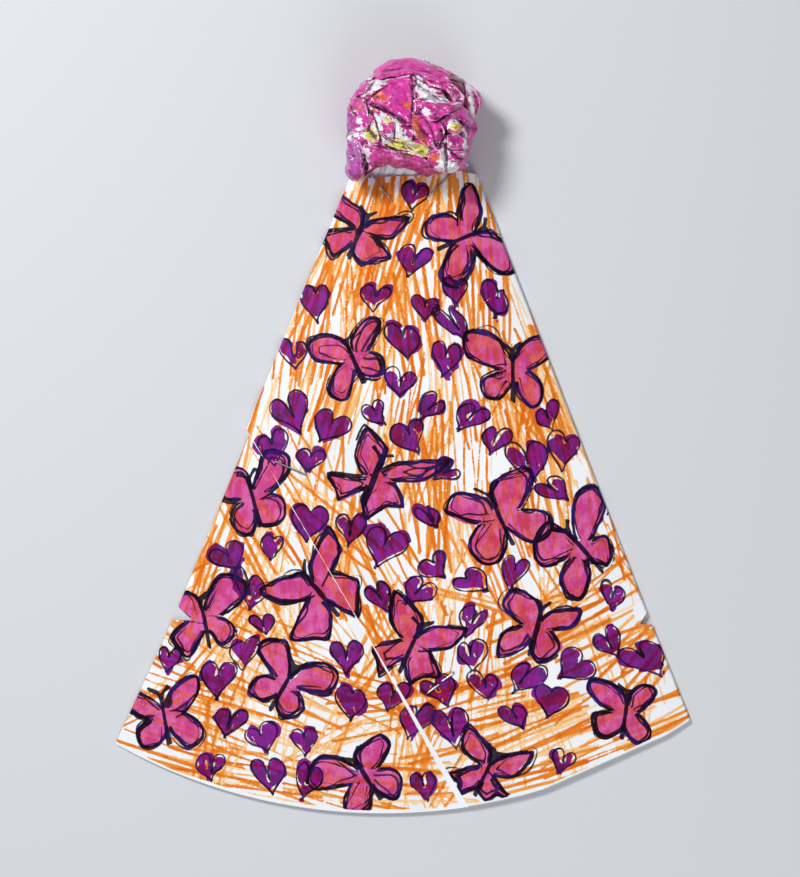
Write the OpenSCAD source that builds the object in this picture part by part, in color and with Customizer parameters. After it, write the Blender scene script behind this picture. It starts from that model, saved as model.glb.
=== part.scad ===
// Paper doll. The dress is one sheet of drawing paper rolled twice round into a cone, pressed flat
// and trimmed round at the hem. The head is a sheet crumpled over a ball of scrap, and its gathered
// end is pushed into the mouth of the cone. Four wire staples hold it all together.
// The doll lies on its back: +Y runs from the hem to the head and +Z out of the front of the dress.

/* [Paper] */
// Thickness of the dress paper
paper_t = 0.25; // [0.15:0.05:0.35]
// Air between one layer of paper and the next
layer_gap = 0.1; // [0.05:0.01:0.15]

/* [Dress] */
// Angle from the cone's centre line to its left fold
left_fold_deg = 22.4; // [20:0.2:25]
// Angle from the cone's centre line to its right fold
right_fold_deg = 21.3; // [20:0.2:25]
// How far the inner turn's left fold lies inside the outer turn's
fold_step = 1.35; // [0.8:0.05:2]
// How far the inner turn's right fold lies inside the outer turn's
fold_nest = 0.6; // [0.4:0.05:1]
// From the cone's tip, which is cut away, down to the neck edge
neck_drop = 42.8; // [40:0.2:46]
// How much lower the neck edge is cut at the left than at the right
neck_slant = 1.4; // [0:0.1:2]
// From the cone's tip down to the lowest point of the hem
hem_drop = 214; // [200:1:230]
// Radius of the curve that the hem is cut to
hem_r = 149.3; // [140:0.5:170]
// How far the centre of the hem's curve lies to the left of the cone's tip
hem_shift = 8.6; // [5:0.1:12]
// How much longer the inner turn is at the hem
hem_step = 0.3; // [0.1:0.05:0.6]
// Rise of the front at the neck, where the cone's mouth stands open
neck_puff = 3.4; // [3.2:0.1:4.5]
// Rise of the front half way down
mid_puff = 2.6; // [2:0.1:3.5]
// Rise of the front at the hem
hem_puff = 0.7; // [0.4:0.1:1.2]
// Angle by which the left fold turns outwards below its notch
left_flare_deg = 2.5; // [0:0.1:4]
// Angle by which the right fold turns outwards below its notch
right_flare_deg = 0.7; // [0:0.1:3]

/* [Seam] */
// Distance of the sheet's free long edge from the cone's tip, measured on the sheet
seam_reach = 95.3; // [92:0.1:100]
// Lean of that edge from the doll's centre line, where it crosses the front
seam_lean_deg = 30.4; // [28:0.2:33]
// Angle of paper tucked round the right fold on the inside
tuck_deg = 11.7; // [8:0.1:16]

/* [Notches] */
// From the cone's tip down to the top of the snip in the left fold
left_notch_drop = 158.7; // [152:0.1:165]
// From the cone's tip down to the top of the snip in the right fold
right_notch_drop = 159.9; // [152:0.1:165]
// Height of a snip where it opens at the fold
notch_h = 3.6; // [2:0.1:5]
// Depth of the left snip
left_notch_in = 5.4; // [3:0.1:7]
// Depth of the right snip
right_notch_in = 3.5; // [2:0.1:6]

/* [Neck] */
// Width of the gathered paper where it bends at the neck
neck_w = 27; // [24:0.5:28]
// Width of its lower end, inside the dress
tail_w = 19; // [14:0.5:22]
// Thickness of the gathered paper
tail_t = 1.2; // [0.8:0.1:1.4]
// Length of gathered paper held inside the dress and its staples
tail_len = 15; // [13:0.5:20]
// From the cone's tip down to the line where the neck bends
bend_drop = 40.2; // [39.8:0.1:40.4]
// Air between the two sides of the bend
bend_gap = 0.3; // [0.2:0.05:0.5]

/* [Head] */
// Typical radius of the head, seen from the front
head_r = 17.1; // [16:0.1:18.5]
// Thickness of the head, from its front to its back
head_depth = 22; // [20:0.5:26]
// From the cone's tip down to the middle of the head
head_drop = 27.3; // [26.5:0.1:27.6]
// Depth of the crumples in the head's surface
crumple = 0.9; // [0.3:0.1:1.2]
// Radius of the ball of scrap inside the head
core_r = 10.5; // [9:0.5:11.5]
// Width of the paper turned over along the top of the head
hood_w = 4.6; // [3:0.2:6]
// Thickness of that turned paper
hood_t = 3; // [2:0.2:4]
// How far the turned paper stands out past the head
hood_out = 0.8; // [0.4:0.1:1.5]

/* [Staples] */
// Width of a staple over its two legs
staple_w = 9.6; // [9:0.1:10]
// Thickness of the staple wire
wire = 0.5; // [0.4:0.05:0.6]
// Length of each folded leg
clinch = 4.2; // [3.6:0.1:4.4]
// Air between a leg and the paper that it goes through
hole_gap = 0.05; // [0.03:0.01:0.08]

/* [Hidden] */

white = [0.94, 0.95, 0.96];
orange_wash = [0.96, 0.74, 0.47];
pink = [0.84, 0.27, 0.58];
dark_pink = [0.62, 0.14, 0.4];
steel = [0.72, 0.73, 0.75];

// Layers of the flattened cone, from the table up
layer = paper_t + layer_gap;
clinch_room = wire + 1.5 * layer_gap;
overrun = 4 * wire;
// The back rises over the edge of the layer below it within this length
rise_len = 2.4;
rise_room = 6;

// The neck, where staples are folded behind the dress
pinch_len = 9.6;
ramp_len = 6;
pinch_low = -neck_drop - pinch_len;
ramp_low = pinch_low - ramp_len;

// The seam edge meets the left fold at this distance from the tip
seam_deg = seam_lean_deg + left_fold_deg;
seam_start = seam_reach / sin(seam_deg) * cos(left_fold_deg);
overlap_corner_deg = 90 - seam_deg - left_fold_deg;

// Folds and hem, as places in the plane with the cone's tip at zero
hem_centre = [-hem_shift, hem_r - hem_drop];
trim_low_deg = 16.7;
trim_high_deg = 30.7;
trim_low = hem_centre + hem_r * [sin(trim_low_deg), -cos(trim_low_deg)];
trim_high = hem_centre + hem_r * [sin(trim_high_deg), -cos(trim_high_deg)];

function mix(a, b, share) = a + (b - a) * share;
function outer_left(drop) = -drop * tan(left_fold_deg);
function left_low() = left_notch_drop + notch_h;
function right_low() = right_notch_drop + notch_h;
function straight_left(drop) = outer_left(drop) + fold_step / cos(left_fold_deg);
function straight_right(drop) = drop * tan(right_fold_deg);
function left_x(drop) = drop < left_low() ? straight_left(drop)
    : straight_left(left_low()) - (drop - left_low()) * tan(left_fold_deg + left_flare_deg);
function right_x(drop) = drop < right_low() ? straight_right(drop)
    : straight_right(right_low()) + (drop - right_low()) * tan(right_fold_deg + right_flare_deg);
function seam_x(drop) = outer_left(seam_start) + (drop - seam_start) * tan(seam_lean_deg);

// The arc of the hem, with the straight snip that trims its right part
function arc_y(x, r) = hem_centre[1] - sqrt(r * r - pow(x - hem_centre[0], 2));
function trim_y(x) = mix(trim_low[1], trim_high[1], (x - trim_low[0]) / (trim_high[0] - trim_low[0]));
function hem_y(x, more) = x > trim_low[0] && x < trim_high[0] ? trim_y(x) - more : arc_y(x, hem_r + more);

// Where a line from start, going down and sideways by slope, meets the hem
function hem_hit(start, slope, more) =
    let(r = hem_r + more, d = start - hem_centre, a = 1 + slope * slope, b = d[0] * slope - d[1],
        c = d * d - r * r, go = (sqrt(b * b - a * c) - b) / a)
    start + go * [slope, -1];

left_corner = hem_hit([left_x(left_low()), -left_low()], -tan(left_fold_deg + left_flare_deg), 0);
inner_left_corner = hem_hit([left_x(left_low()), -left_low()], -tan(left_fold_deg + left_flare_deg), hem_step);
right_corner = hem_hit([right_x(right_low()), -right_low()], tan(right_fold_deg + right_flare_deg), 0);
seam_end = hem_hit([outer_left(seam_start), -seam_start], tan(seam_lean_deg), 0);

// Rows across the dress from the neck to the hem. Each holds the drop at the left fold, the drop at
// the right fold, and how much of the notches' depth they are set in.
upper_rows = 17;
lower_rows = 3;
hem_rows = 4;
snip_share = 0.97;
curve_room = 3.6;
last_straight = -max(left_corner[1], right_corner[1]) - curve_room;
top_row = [neck_drop + neck_slant / 2, neck_drop - neck_slant / 2, 0];
notch_row = [left_notch_drop, right_notch_drop, 0];
tip_row = [left_notch_drop + notch_h * snip_share, right_notch_drop + notch_h * snip_share, 1];
low_row = [left_low(), right_low(), 0];
end_row = [last_straight, last_straight, 0];
rows = concat(
    [for (i = [0 : upper_rows]) mix(top_row, notch_row, i / upper_rows)], [tip_row],
    [for (i = [0 : lower_rows]) mix(low_row, end_row, i / lower_rows)]);

function inner_left_pt(row) = [left_x(row[0]) + row[2] * left_notch_in, -row[0]];
function front_left_pt(row) =
    row[0] < seam_start ? [outer_left(row[0]), -row[0]] : [seam_x(row[0]), -row[0]];
function right_pt(row, inset) = [right_x(row[1]) - inset - row[2] * right_notch_in, -row[1]];

// Height of the folded layers: the back lies on the table, rises over the layer that overlaps it
// from behind and again at the neck, where the folded legs of the staples lie under it
function neck_lift(y) = clinch_room * max(0, min(1, (y - ramp_low) / ramp_len));
function overlap_lift(y) = layer * max(0, min(1, (y + seam_start + rise_room) / rise_len));
function back_top(y) = neck_lift(y) + overlap_lift(y) + paper_t;

function puff(down) = neck_puff * (1 - down) * (1 - 2 * down) + mid_puff * 4 * down * (1 - down)
    + hem_puff * down * (2 * down - 1);
function across(x, drop) =
    max(0, min(1, (x - left_x(drop)) / (right_x(drop) - left_x(drop))));
function inner_z(x, y) =
    let(u = across(x, -y), down = (-y - neck_drop) / (hem_drop - neck_drop))
    back_top(y) + layer_gap + layer * u + puff(down) * (1 - pow(abs(2 * u - 1), 3));
function front_z(x, y) = inner_z(x, y) + layer;

// Turns the drawing about the cone's tip into the part's own place: its origin is under the middle
// of the whole doll, on the table
head_top = head_r - head_drop;
middle = [(inner_left_corner[0] + right_corner[0]) / 2, (head_top + hood_out - hem_drop - hem_step) / 2];
module place() {
    translate([-middle[0], -middle[1], 0]) children();
}

// A bent sheet of even thickness over rows of points that give its lower face
module sheet(grid, thick) {
    n = len(grid);
    m = len(grid[0]);
    low = [for (row = grid) for (p = row) p];
    top = [for (p = low) p + [0, 0, thick]];
    count = n * m;
    around = concat([for (j = [0 : m - 1]) j], [for (i = [1 : n - 1]) i * m + m - 1],
        [for (j = [m - 2 : -1 : 0]) (n - 1) * m + j], [for (i = [n - 2 : -1 : 1]) i * m]);
    faces = concat(
        [for (i = [0 : n - 2]) for (j = [0 : m - 2]) let(a = i * m + j, b = a + 1, c = a + m, d = c + 1)
            each [[a, d, b], [a, c, d], [count + a, count + b, count + d], [count + a, count + d, count + c]]],
        [for (k = [0 : len(around) - 1]) let(a = around[k], b = around[(k + 1) % len(around)])
            each [[a, count + b, count + a], [a, b, count + b]]]);
    polyhedron(points = concat(low, top), faces = faces, convexity = 4);
}

// Lays m steps between two ends, then bends the last rows to the hem's curve
function straight_line(a, b, m) = [for (j = [0 : m]) mix(a, b, j / m)];
function hem_line(a, b, m, more) =
    [for (j = [0 : m]) let(x = mix(a[0], b[0], j / m)) [x, j == 0 ? a[1] : j == m ? b[1] : hem_y(x, more)]];
function blended(a, b, share) = [for (j = [0 : len(a) - 1]) mix(a[j], b[j], share)];

// Outer turn of the front. Its right end, and its left end down to the seam, fold down to the back.
front_cols = 24;
lip = layer_gap + hole_gap;
function front_row(row) =
    let(a = front_left_pt(row), b = right_pt(row, 0), folded = row[0] < seam_start,
        a_in = a + [folded ? fold_step / cos(left_fold_deg) - lip : fold_nest, 0],
        b_in = b - [fold_nest - lip, 0])
    concat([a], straight_line(a_in, b_in, front_cols), [b]);
function front_hem() =
    let(a = seam_end + [fold_nest, 0], b = right_corner - [fold_nest - lip, 0])
    concat([seam_end], hem_line([a[0], hem_y(a[0], 0)], [b[0], hem_y(b[0], 0)], front_cols, 0), [right_corner]);
front_flat = concat([for (row = rows) front_row(row)],
    [for (i = [1 : hem_rows]) blended(front_row(end_row), front_hem(), i / hem_rows)]);
function front_height(p, j) =
    j == front_cols + 2 ? back_top(p[1]) + layer_gap
    : j == 0 && -p[1] < seam_start ? neck_lift(p[1]) + layer
    : front_z(p[0], p[1]);
module dress_front_panel() {
    color(orange_wash) place() difference() {
        sheet([for (row = front_flat) [for (j = [0 : front_cols + 2])
            [row[j][0], row[j][1], front_height(row[j], j)]]], paper_t);
        staple_holes(neck_staples);
        staple_holes(seam_staples);
    }
}

// Inner turn of the front, which shows to the left of the seam
inner_cols = 22;
inner_right_corner = [right_corner[0] - fold_nest, hem_y(right_corner[0] - fold_nest, hem_step)];
function inner_row(row) = straight_line(inner_left_pt(row), right_pt(row, fold_nest), inner_cols);
inner_flat = concat([for (row = rows) inner_row(row)],
    [for (i = [1 : hem_rows]) blended(inner_row(end_row),
        hem_line(inner_left_corner, inner_right_corner, inner_cols, hem_step), i / hem_rows)]);
module dress_inner_panel() {
    color(orange_wash) place() difference() {
        sheet([for (row = inner_flat) [for (p = row) [p[0], p[1], inner_z(p[0], p[1])]]], paper_t);
        staple_holes(neck_staples);
        staple_holes(seam_staples);
    }
}

// A flat layer of the back: an outline seen from the front, with the layer's rises along its length
module back_layer(outline, heights) {
    span = right_corner[0] - left_corner[0];
    profile = concat([for (p = heights) p], [for (i = [len(heights) - 1 : -1 : 0]) heights[i] + [0, paper_t]]);
    difference() {
        intersection() {
            translate([0, 0, -overrun]) linear_extrude(neck_puff + head_depth) polygon(outline);
            translate([left_corner[0] - span / 2, 0, 0]) rotate([90, 0, 90])
                linear_extrude(2 * span) polygon(profile);
        }
        staple_holes(neck_staples);
    }
}

// Main layer of the back
hem_steps = 24;
function folded_heights(raise) = [
    [-hem_drop - overrun, raise], [-seam_start - rise_room, raise],
    [-seam_start - rise_room + rise_len, raise + layer], [ramp_low, raise + layer],
    [pinch_low, raise + layer + clinch_room], [0, raise + layer + clinch_room]];
module dress_back_panel() {
    color(white) place() back_layer(
        concat([for (row = rows) inner_left_pt(row)],
            [for (j = [0 : hem_steps]) let(x = mix(left_corner[0], right_corner[0], j / hem_steps)) [x, hem_y(x, 0)]],
            [for (i = [len(rows) - 1 : -1 : 0]) right_pt(rows[i], 0)]),
        folded_heights(0));
}

// End of the outer turn, which comes round the left fold and lies under the back
module dress_back_overlap() {
    corner = seam_reach * [sin(overlap_corner_deg), -cos(overlap_corner_deg)];
    color(white) place() back_layer(
        [[outer_left(top_row[0]), -top_row[0]], [outer_left(seam_start), -seam_start], corner,
            [top_row[1] * tan(overlap_corner_deg), -top_row[1]]],
        [[-seam_start - overrun, 0], [ramp_low, 0], [pinch_low, clinch_room], [0, clinch_room]]);
}

// End of the inner turn, tucked round the right fold on the inside of the back
module dress_inner_tuck() {
    edge_deg = right_fold_deg - tuck_deg;
    color(white) place() back_layer(
        concat([for (row = rows) right_pt(row, fold_nest)],
            [last_straight * [tan(edge_deg), -1], top_row[1] * [tan(edge_deg), -1]]),
        folded_heights(layer));
}

// The gathered paper at the neck. Its rounded upper edge is the line that the head bends about, and
// the head's own neck paper ends in a round groove about the same line.
tail_low = clinch_room + paper_t + layer + layer + layer_gap;
bend_z = tail_low + tail_t / 2;
bend_r = tail_t / 2;
module bend_round(more, past) {
    translate([-neck_w / 2 - past, -bend_drop, bend_z])
        rotate([0, 90, 0]) cylinder(r = bend_r + more, h = neck_w + 2 * past, $fn = 24);
}
module neck_tail() {
    low = -bend_drop - tail_len;
    color(white) place() difference() {
        union() {
            translate([0, 0, tail_low]) linear_extrude(tail_t)
                polygon([[-neck_w / 2, -bend_drop], [-tail_w / 2, low], [tail_w / 2, low], [neck_w / 2, -bend_drop]]);
            bend_round(0, 0);
        }
        staple_holes(neck_staples);
    }
}

// Outline of the head seen from the front, as shares of its radius every 15 degrees from the right
head_shares = [0.95, 1.09, 1.1, 0.98, 0.965, 0.98, 1, 1, 0.98, 0.955, 1.01, 1.03,
    1.06, 1.09, 1.2, 1.31, 1.1, 0.8, 0.76, 0.8, 0.88, 1.06, 1.01, 0.98];
share_step = 360 / len(head_shares);
head_centre = [0, -head_drop, head_depth / 2];
function head_share(deg) =
    let(k = deg / share_step, i = floor(k), f = k - i, s = (1 - cos(180 * f)) / 2, n = len(head_shares))
    mix(head_shares[i % n], head_shares[(i + 1) % n], s);
boxy = 0.7;
lobe_power = 5;
head_cols = 36;
head_rows = 15;
dents = rands(0, 1, 2 * head_cols * head_rows, 11);
// A place on the crumpled surface: dent draws it in and sink lowers it, each from 0 to 1
function head_point(deg, lat, dent, sink) =
    let(lobe = lat < 0 ? pow(cos(lat), lobe_power) : 1,
        r = head_r * mix(1, head_share(deg), lobe) * pow(cos(lat), boxy) - crumple * dent * cos(lat),
        z = (head_depth / 2 + crumple) * sin(lat) - crumple * sink * sin(lat))
    head_centre + [r * cos(deg), r * sin(deg), max(-head_depth / 2, min(head_depth / 2, z))];

module head_ball() {
    rings = [for (i = [1 : head_rows]) for (j = [0 : head_cols - 1]) let(k = 2 * ((i - 1) * head_cols + j))
        head_point(360 * j / head_cols, -90 + 180 * i / (head_rows + 1), dents[k], dents[k + 1])];
    south = len(rings);
    north = south + 1;
    ends = [head_centre - [0, 0, head_depth / 2], head_centre + [0, 0, head_depth / 2]];
    last = (head_rows - 1) * head_cols;
    faces = concat(
        [for (i = [0 : head_rows - 2]) for (j = [0 : head_cols - 1])
            let(k = (j + 1) % head_cols, a = i * head_cols + j, b = i * head_cols + k)
            each [[a, a + head_cols, b + head_cols], [a, b + head_cols, b]]],
        [for (j = [0 : head_cols - 1]) let(k = (j + 1) % head_cols) each [[south, j, k], [north, last + k, last + j]]]);
    polyhedron(points = concat(rings, ends), faces = faces, convexity = 4);
}

module core_ball(more) {
    flat_share = head_depth / head_r / 2;
    translate(head_centre) scale([1, 1, flat_share]) sphere(r = core_r + more, $fn = 32);
}
module head_core() {
    color(white) place() core_ball(0);
}

// Paper turned over along the top and right of the head
hood_from_deg = 6;
hood_to_deg = 126;
hood_steps = 30;
function hood_line(more) = [for (i = [0 : hood_steps])
    let(deg = mix(hood_from_deg, hood_to_deg, i / hood_steps)) (head_r * head_share(deg) + more) * [cos(deg), sin(deg)]];
module hood_band() {
    inner = hood_line(hood_out - hood_w);
    translate(head_centre) linear_extrude(hood_t)
        polygon(concat(hood_line(hood_out), [for (i = [hood_steps : -1 : 0]) inner[i]]));
}
module head_hood_fold() {
    color(dark_pink) place() hood_band();
}

// The crumpled sheet, with the part of its gathered end that moves with the head
module head_wrapper() {
    color(pink) place() difference() {
        union() {
            head_ball();
            translate([-neck_w / 2, -bend_drop, tail_low]) cube([neck_w, bend_drop - head_drop, tail_t]);
        }
        core_ball(layer_gap);
        hood_band();
        bend_round(bend_gap, overrun);
    }
}

// Staples. Each entry holds the middle of its wire and the turn of the wire in degrees. The neck pair
// is set from the neck edge, and the seam pair by its way down the seam and its way in from the edge.
neck_left_x = -9.3;
neck_left_in = 3;
neck_right_x = 6.9;
neck_right_in = 2.1;
upper_along = 15.3;
upper_in = 4.9;
lower_along = 85.4;
lower_in = 10.5;
function seam_place(along, inwards) = [outer_left(seam_start), -seam_start]
    + along * [sin(seam_lean_deg), -cos(seam_lean_deg)] + inwards * [cos(seam_lean_deg), sin(seam_lean_deg)];
neck_left_at = [neck_left_x, -neck_drop - neck_left_in];
neck_right_at = [neck_right_x, -neck_drop - neck_right_in];
seam_upper_at = seam_place(upper_along, upper_in);
seam_lower_at = seam_place(lower_along, lower_in);
neck_staples = [[neck_left_at, -53.5], [neck_right_at, 45]];
seam_staples = [[seam_upper_at, -23.2], [seam_lower_at, 38.3]];
leg_at = staple_w / 2 - wire / 2;
function leg_pt(staple, side) = staple[0] + side * leg_at * [cos(staple[1]), sin(staple[1])];
module staple_holes(staples) {
    for (staple = staples) for (side = [-1, 1])
        translate([leg_pt(staple, side)[0], leg_pt(staple, side)[1], -overrun]) rotate(staple[1])
            translate([-wire / 2 - hole_gap, -wire / 2 - hole_gap, 0])
                cube([wire + 2 * hole_gap, wire + 2 * hole_gap, neck_puff + head_depth]);
}

// Bent wire: crown heights at its two legs, height of its folded legs, both measured at the paper
module wire_staple(staple, crown_left, crown_right, folded) {
    up = crown_left > folded ? wire : -wire;
    half = staple_w / 2;
    place() translate([staple[0][0], staple[0][1], 0]) rotate(staple[1]) translate([0, wire / 2, 0])
        rotate([90, 0, 0]) linear_extrude(wire) polygon([
            [-half, folded - up], [clinch - half, folded - up], [clinch - half, folded], [wire - half, folded],
            [wire - half, crown_left], [half - wire, crown_right], [half - wire, folded],
            [half - clinch, folded], [half - clinch, folded - up], [half, folded - up],
            [half, crown_right + up], [-half, crown_left + up]]);
}
function top_at(p) = front_z(p[0], p[1]) + paper_t;
function under_at(p) = inner_z(p[0], p[1]);
// The front bulges between the legs, and the crown lies clear of the bulge
function bulge(staple) =
    max(0, top_at(staple[0]) - (top_at(leg_pt(staple, -1)) + top_at(leg_pt(staple, 1))) / 2) + layer_gap;
function crown_at(staple, side) = top_at(leg_pt(staple, side)) + bulge(staple);
function under_both(staple) = min(under_at(leg_pt(staple, -1)), under_at(leg_pt(staple, 1))) - layer_gap;

module neck_staple_left() {
    staple = neck_staples[0];
    color(steel) wire_staple(staple, crown_at(staple, -1), crown_at(staple, 1), clinch_room - layer_gap);
}
module neck_staple_right() {
    staple = neck_staples[1];
    color(steel) wire_staple(staple, crown_at(staple, -1), crown_at(staple, 1), clinch_room - layer_gap);
}
module seam_staple_upper() {
    staple = seam_staples[0];
    color(steel) wire_staple(staple, crown_at(staple, -1), crown_at(staple, 1), under_both(staple));
}
// The lower seam staple goes in from behind, so its folded legs show on the front
module seam_staple_lower() {
    staple = seam_staples[1];
    color(steel) wire_staple(staple, under_both(staple), under_both(staple),
        max(crown_at(staple, -1), crown_at(staple, 1)));
}

dress_front_panel();
dress_inner_panel();
dress_inner_tuck();
dress_back_panel();
dress_back_overlap();
neck_tail();
head_wrapper();
head_hood_fold();
head_core();
neck_staple_left();
neck_staple_right();
seam_staple_upper();
seam_staple_lower();
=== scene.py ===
"""Paper doll: the visual model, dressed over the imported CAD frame.

Lengths are in mm in the drawing's own axes, whose zero is the tip of the dress cone and whose -Y
runs down to the hem. to_row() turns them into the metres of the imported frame.
"""

import math

import bmesh
import bpy
import numpy as np
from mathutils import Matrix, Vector, geometry
from mathutils.bvhtree import BVHTree


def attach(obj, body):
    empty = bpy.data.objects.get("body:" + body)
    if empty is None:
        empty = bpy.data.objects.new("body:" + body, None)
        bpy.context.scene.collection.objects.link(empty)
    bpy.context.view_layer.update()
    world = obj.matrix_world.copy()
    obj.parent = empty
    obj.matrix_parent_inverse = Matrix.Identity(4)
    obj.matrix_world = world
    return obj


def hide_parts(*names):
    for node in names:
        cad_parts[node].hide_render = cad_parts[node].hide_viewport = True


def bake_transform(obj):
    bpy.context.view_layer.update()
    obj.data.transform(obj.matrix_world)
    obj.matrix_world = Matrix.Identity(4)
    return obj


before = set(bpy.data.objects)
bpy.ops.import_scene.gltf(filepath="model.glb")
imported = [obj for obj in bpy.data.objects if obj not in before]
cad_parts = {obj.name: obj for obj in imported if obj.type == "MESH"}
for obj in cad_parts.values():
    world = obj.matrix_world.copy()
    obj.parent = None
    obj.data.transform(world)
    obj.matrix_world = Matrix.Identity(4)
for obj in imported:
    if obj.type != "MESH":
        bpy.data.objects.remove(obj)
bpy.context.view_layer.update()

MM = 0.001
MIDDLE = np.array([-3.4295, -111.85])
MM_PER_PX = 0.27
PX_ZERO = np.array([402.9, 433.16])
CAMERA = np.array([-0.00078, -0.00144, 0.8])
PICTURE = 0.2368


def to_row(points):
    """Drawing points in mm to frame points in metres."""
    out = np.array(points, float)
    out[..., :2] -= MIDDLE
    return out * MM


def from_px(points):
    """Places named on the 800 x 877 photograph to drawing points in mm."""
    return (np.array(points, float) - PX_ZERO) * (MM_PER_PX, -MM_PER_PX) + MIDDLE


def sin(deg):
    return math.sin(math.radians(deg))


def cos(deg):
    return math.cos(math.radians(deg))


def tan(deg):
    return math.tan(math.radians(deg))


# ---------------------------------------------------------------- the flattened cone
# d is the drop below the cone's tip. The folds lean by the DEG values, and flare out below the notches.
PAPER = 0.25
GAP = 0.1
LAYER = PAPER + GAP
LEFT_DEG, RIGHT_DEG, SEAM_DEG = 22.4, 21.3, 30.4
LEFT_FLARE, RIGHT_FLARE = 2.5, 0.7
FOLD_STEP, FOLD_NEST = 1.35, 0.6
NECK_DROP, NECK_SLANT, HEM_DROP = 42.8, 1.4, 214.0
HEM_R, HEM_STEP = 149.3, 0.3
HEM_C = np.array([-8.6, HEM_R - HEM_DROP])
HEM_RIGHT, HEM_SEAM = 74.06, 14.048
TRIM_FROM, TRIM_TO = [HEM_C + HEM_R * np.array([sin(a), -cos(a)]) for a in (16.7, 30.7)]
NOTCH_L, NOTCH_R, NOTCH_H = 158.7, 159.9, 3.6
NOTCH_L_IN, NOTCH_R_IN = 5.4, 3.5
SEAM_START = 110.616
CLINCH_ROOM = 0.65
RAMP_LOW, PINCH_LOW = -58.4, -52.4
LAST_STRAIGHT = 185.43
AIR_NECK, AIR_MIDDLE, AIR_HEM = 3.4, 2.6, 0.7


def outer_left(d):
    return -np.asarray(d, float) * tan(LEFT_DEG)


def left_x(d):
    d = np.asarray(d, float)
    low = NOTCH_L + NOTCH_H
    step = FOLD_STEP / cos(LEFT_DEG)
    flared = outer_left(low) + step - (d - low) * tan(LEFT_DEG + LEFT_FLARE)
    return np.where(d < low, outer_left(d) + step, flared)


def right_x(d):
    d = np.asarray(d, float)
    low = NOTCH_R + NOTCH_H
    return np.where(d < low, d * tan(RIGHT_DEG), low * tan(RIGHT_DEG) + (d - low) * tan(RIGHT_DEG + RIGHT_FLARE))


def seam_x(d):
    return outer_left(SEAM_START) + (np.asarray(d, float) - SEAM_START) * tan(SEAM_DEG)


def hem_y(x, more=0.0):
    """The round hem, with its straight cut at the right."""
    x = np.asarray(x, float)
    arc = HEM_C[1] - np.sqrt(np.maximum((HEM_R + more) ** 2 - (x - HEM_C[0]) ** 2, 1.0))
    share = (x - TRIM_FROM[0]) / (TRIM_TO[0] - TRIM_FROM[0])
    chord = TRIM_FROM[1] + (TRIM_TO[1] - TRIM_FROM[1]) * share - more
    return np.where((share > 0) & (share < 1), chord, arc)


def ramp(v, a, b):
    return np.clip((v - a) / (b - a), 0, 1)


def smooth(v, a, b):
    t = ramp(v, a, b)
    return t * t * (3 - 2 * t)


def neck_lift(y):
    return CLINCH_ROOM * ramp(y, RAMP_LOW, PINCH_LOW)


def back_low(y):
    return neck_lift(y) + LAYER * ramp(y, -SEAM_START - 6, -SEAM_START - 3.6)


def across(x, y):
    """0 at the left fold of the front, 1 at its right fold."""
    left = left_x(-y)
    return np.clip((x - left) / (right_x(-y) - left), 0, 1)


def inner_z(x, y):
    """The underside of the inner sheet, over the air in the cone."""
    u = across(x, y)
    t = (-y - NECK_DROP) / (HEM_DROP - NECK_DROP)
    puff = AIR_NECK * (1 - t) * (1 - 2 * t) + AIR_MIDDLE * 4 * t * (1 - t) + AIR_HEM * t * (2 * t - 1)
    return back_low(y) + PAPER + GAP + LAYER * u + puff * (1 - np.abs(2 * u - 1) ** 3)


# ---------------------------------------------------------------- noise


class Noise:
    """Smooth value noise on a seeded lattice."""

    def __init__(self, seed, n=32):
        self.n = n
        self.t = np.random.default_rng(seed).uniform(-1, 1, (n, n, n))

    def __call__(self, p, size):
        q = np.asarray(p, float) / size + 500.0
        i = np.floor(q).astype(int)
        f = q - i
        f = f * f * (3 - 2 * f)
        out = 0.0
        for dx in (0, 1):
            for dy in (0, 1):
                for dz in (0, 1):
                    w = (f[..., 0] if dx else 1 - f[..., 0]) * (f[..., 1] if dy else 1 - f[..., 1])
                    w = w * (f[..., 2] if dz else 1 - f[..., 2])
                    j = [(i[..., k] + (dx, dy, dz)[k]) % self.n for k in range(3)]
                    out = out + w * self.t[j[0], j[1], j[2]]
        return out


noise = Noise(7)


def flat3(x, y, z=0.0):
    x, y = np.broadcast_arrays(np.asarray(x, float), np.asarray(y, float))
    return np.stack([x, y, np.full_like(x, z)], -1)


# ---------------------------------------------------------------- drawn fields
# o1 to o3: the three nearest orange strokes, os and ot: place across and tone of the first. pf, hf: fills,
# kk: broad black. hl, k1 to k4: signed distance to a thin line. mt: tone of a motif.
FIELDS = ("o1", "o2", "o3", "os", "ot", "pf", "hf", "kk", "hl", "k1", "k2", "k3", "k4", "mt")
INKS, LINES = ("o1", "o2", "o3", "pf", "hf", "kk"), ("hl", "k1", "k2", "k3", "k4")
NO_INK, NO_LINE = -3.0, 9.0
BLANK = {"os": 0.0, "ot": 0.5, "mt": 0.5, **dict.fromkeys(INKS, NO_INK), **dict.fromkeys(LINES, NO_LINE)}


def bilinear(grid, fx, fy):
    """The grid's value at a fractional column and row."""
    fx, fy = np.clip(fx, 0, grid.shape[1] - 1.001), np.clip(fy, 0, grid.shape[0] - 1.001)
    i, j = fx.astype(int), fy.astype(int)
    a, b = fx - i, fy - j
    return ((grid[j, i] * (1 - a) + grid[j, i + 1] * a) * (1 - b)
            + (grid[j + 1, i] * (1 - a) + grid[j + 1, i + 1] * a) * b)


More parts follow.
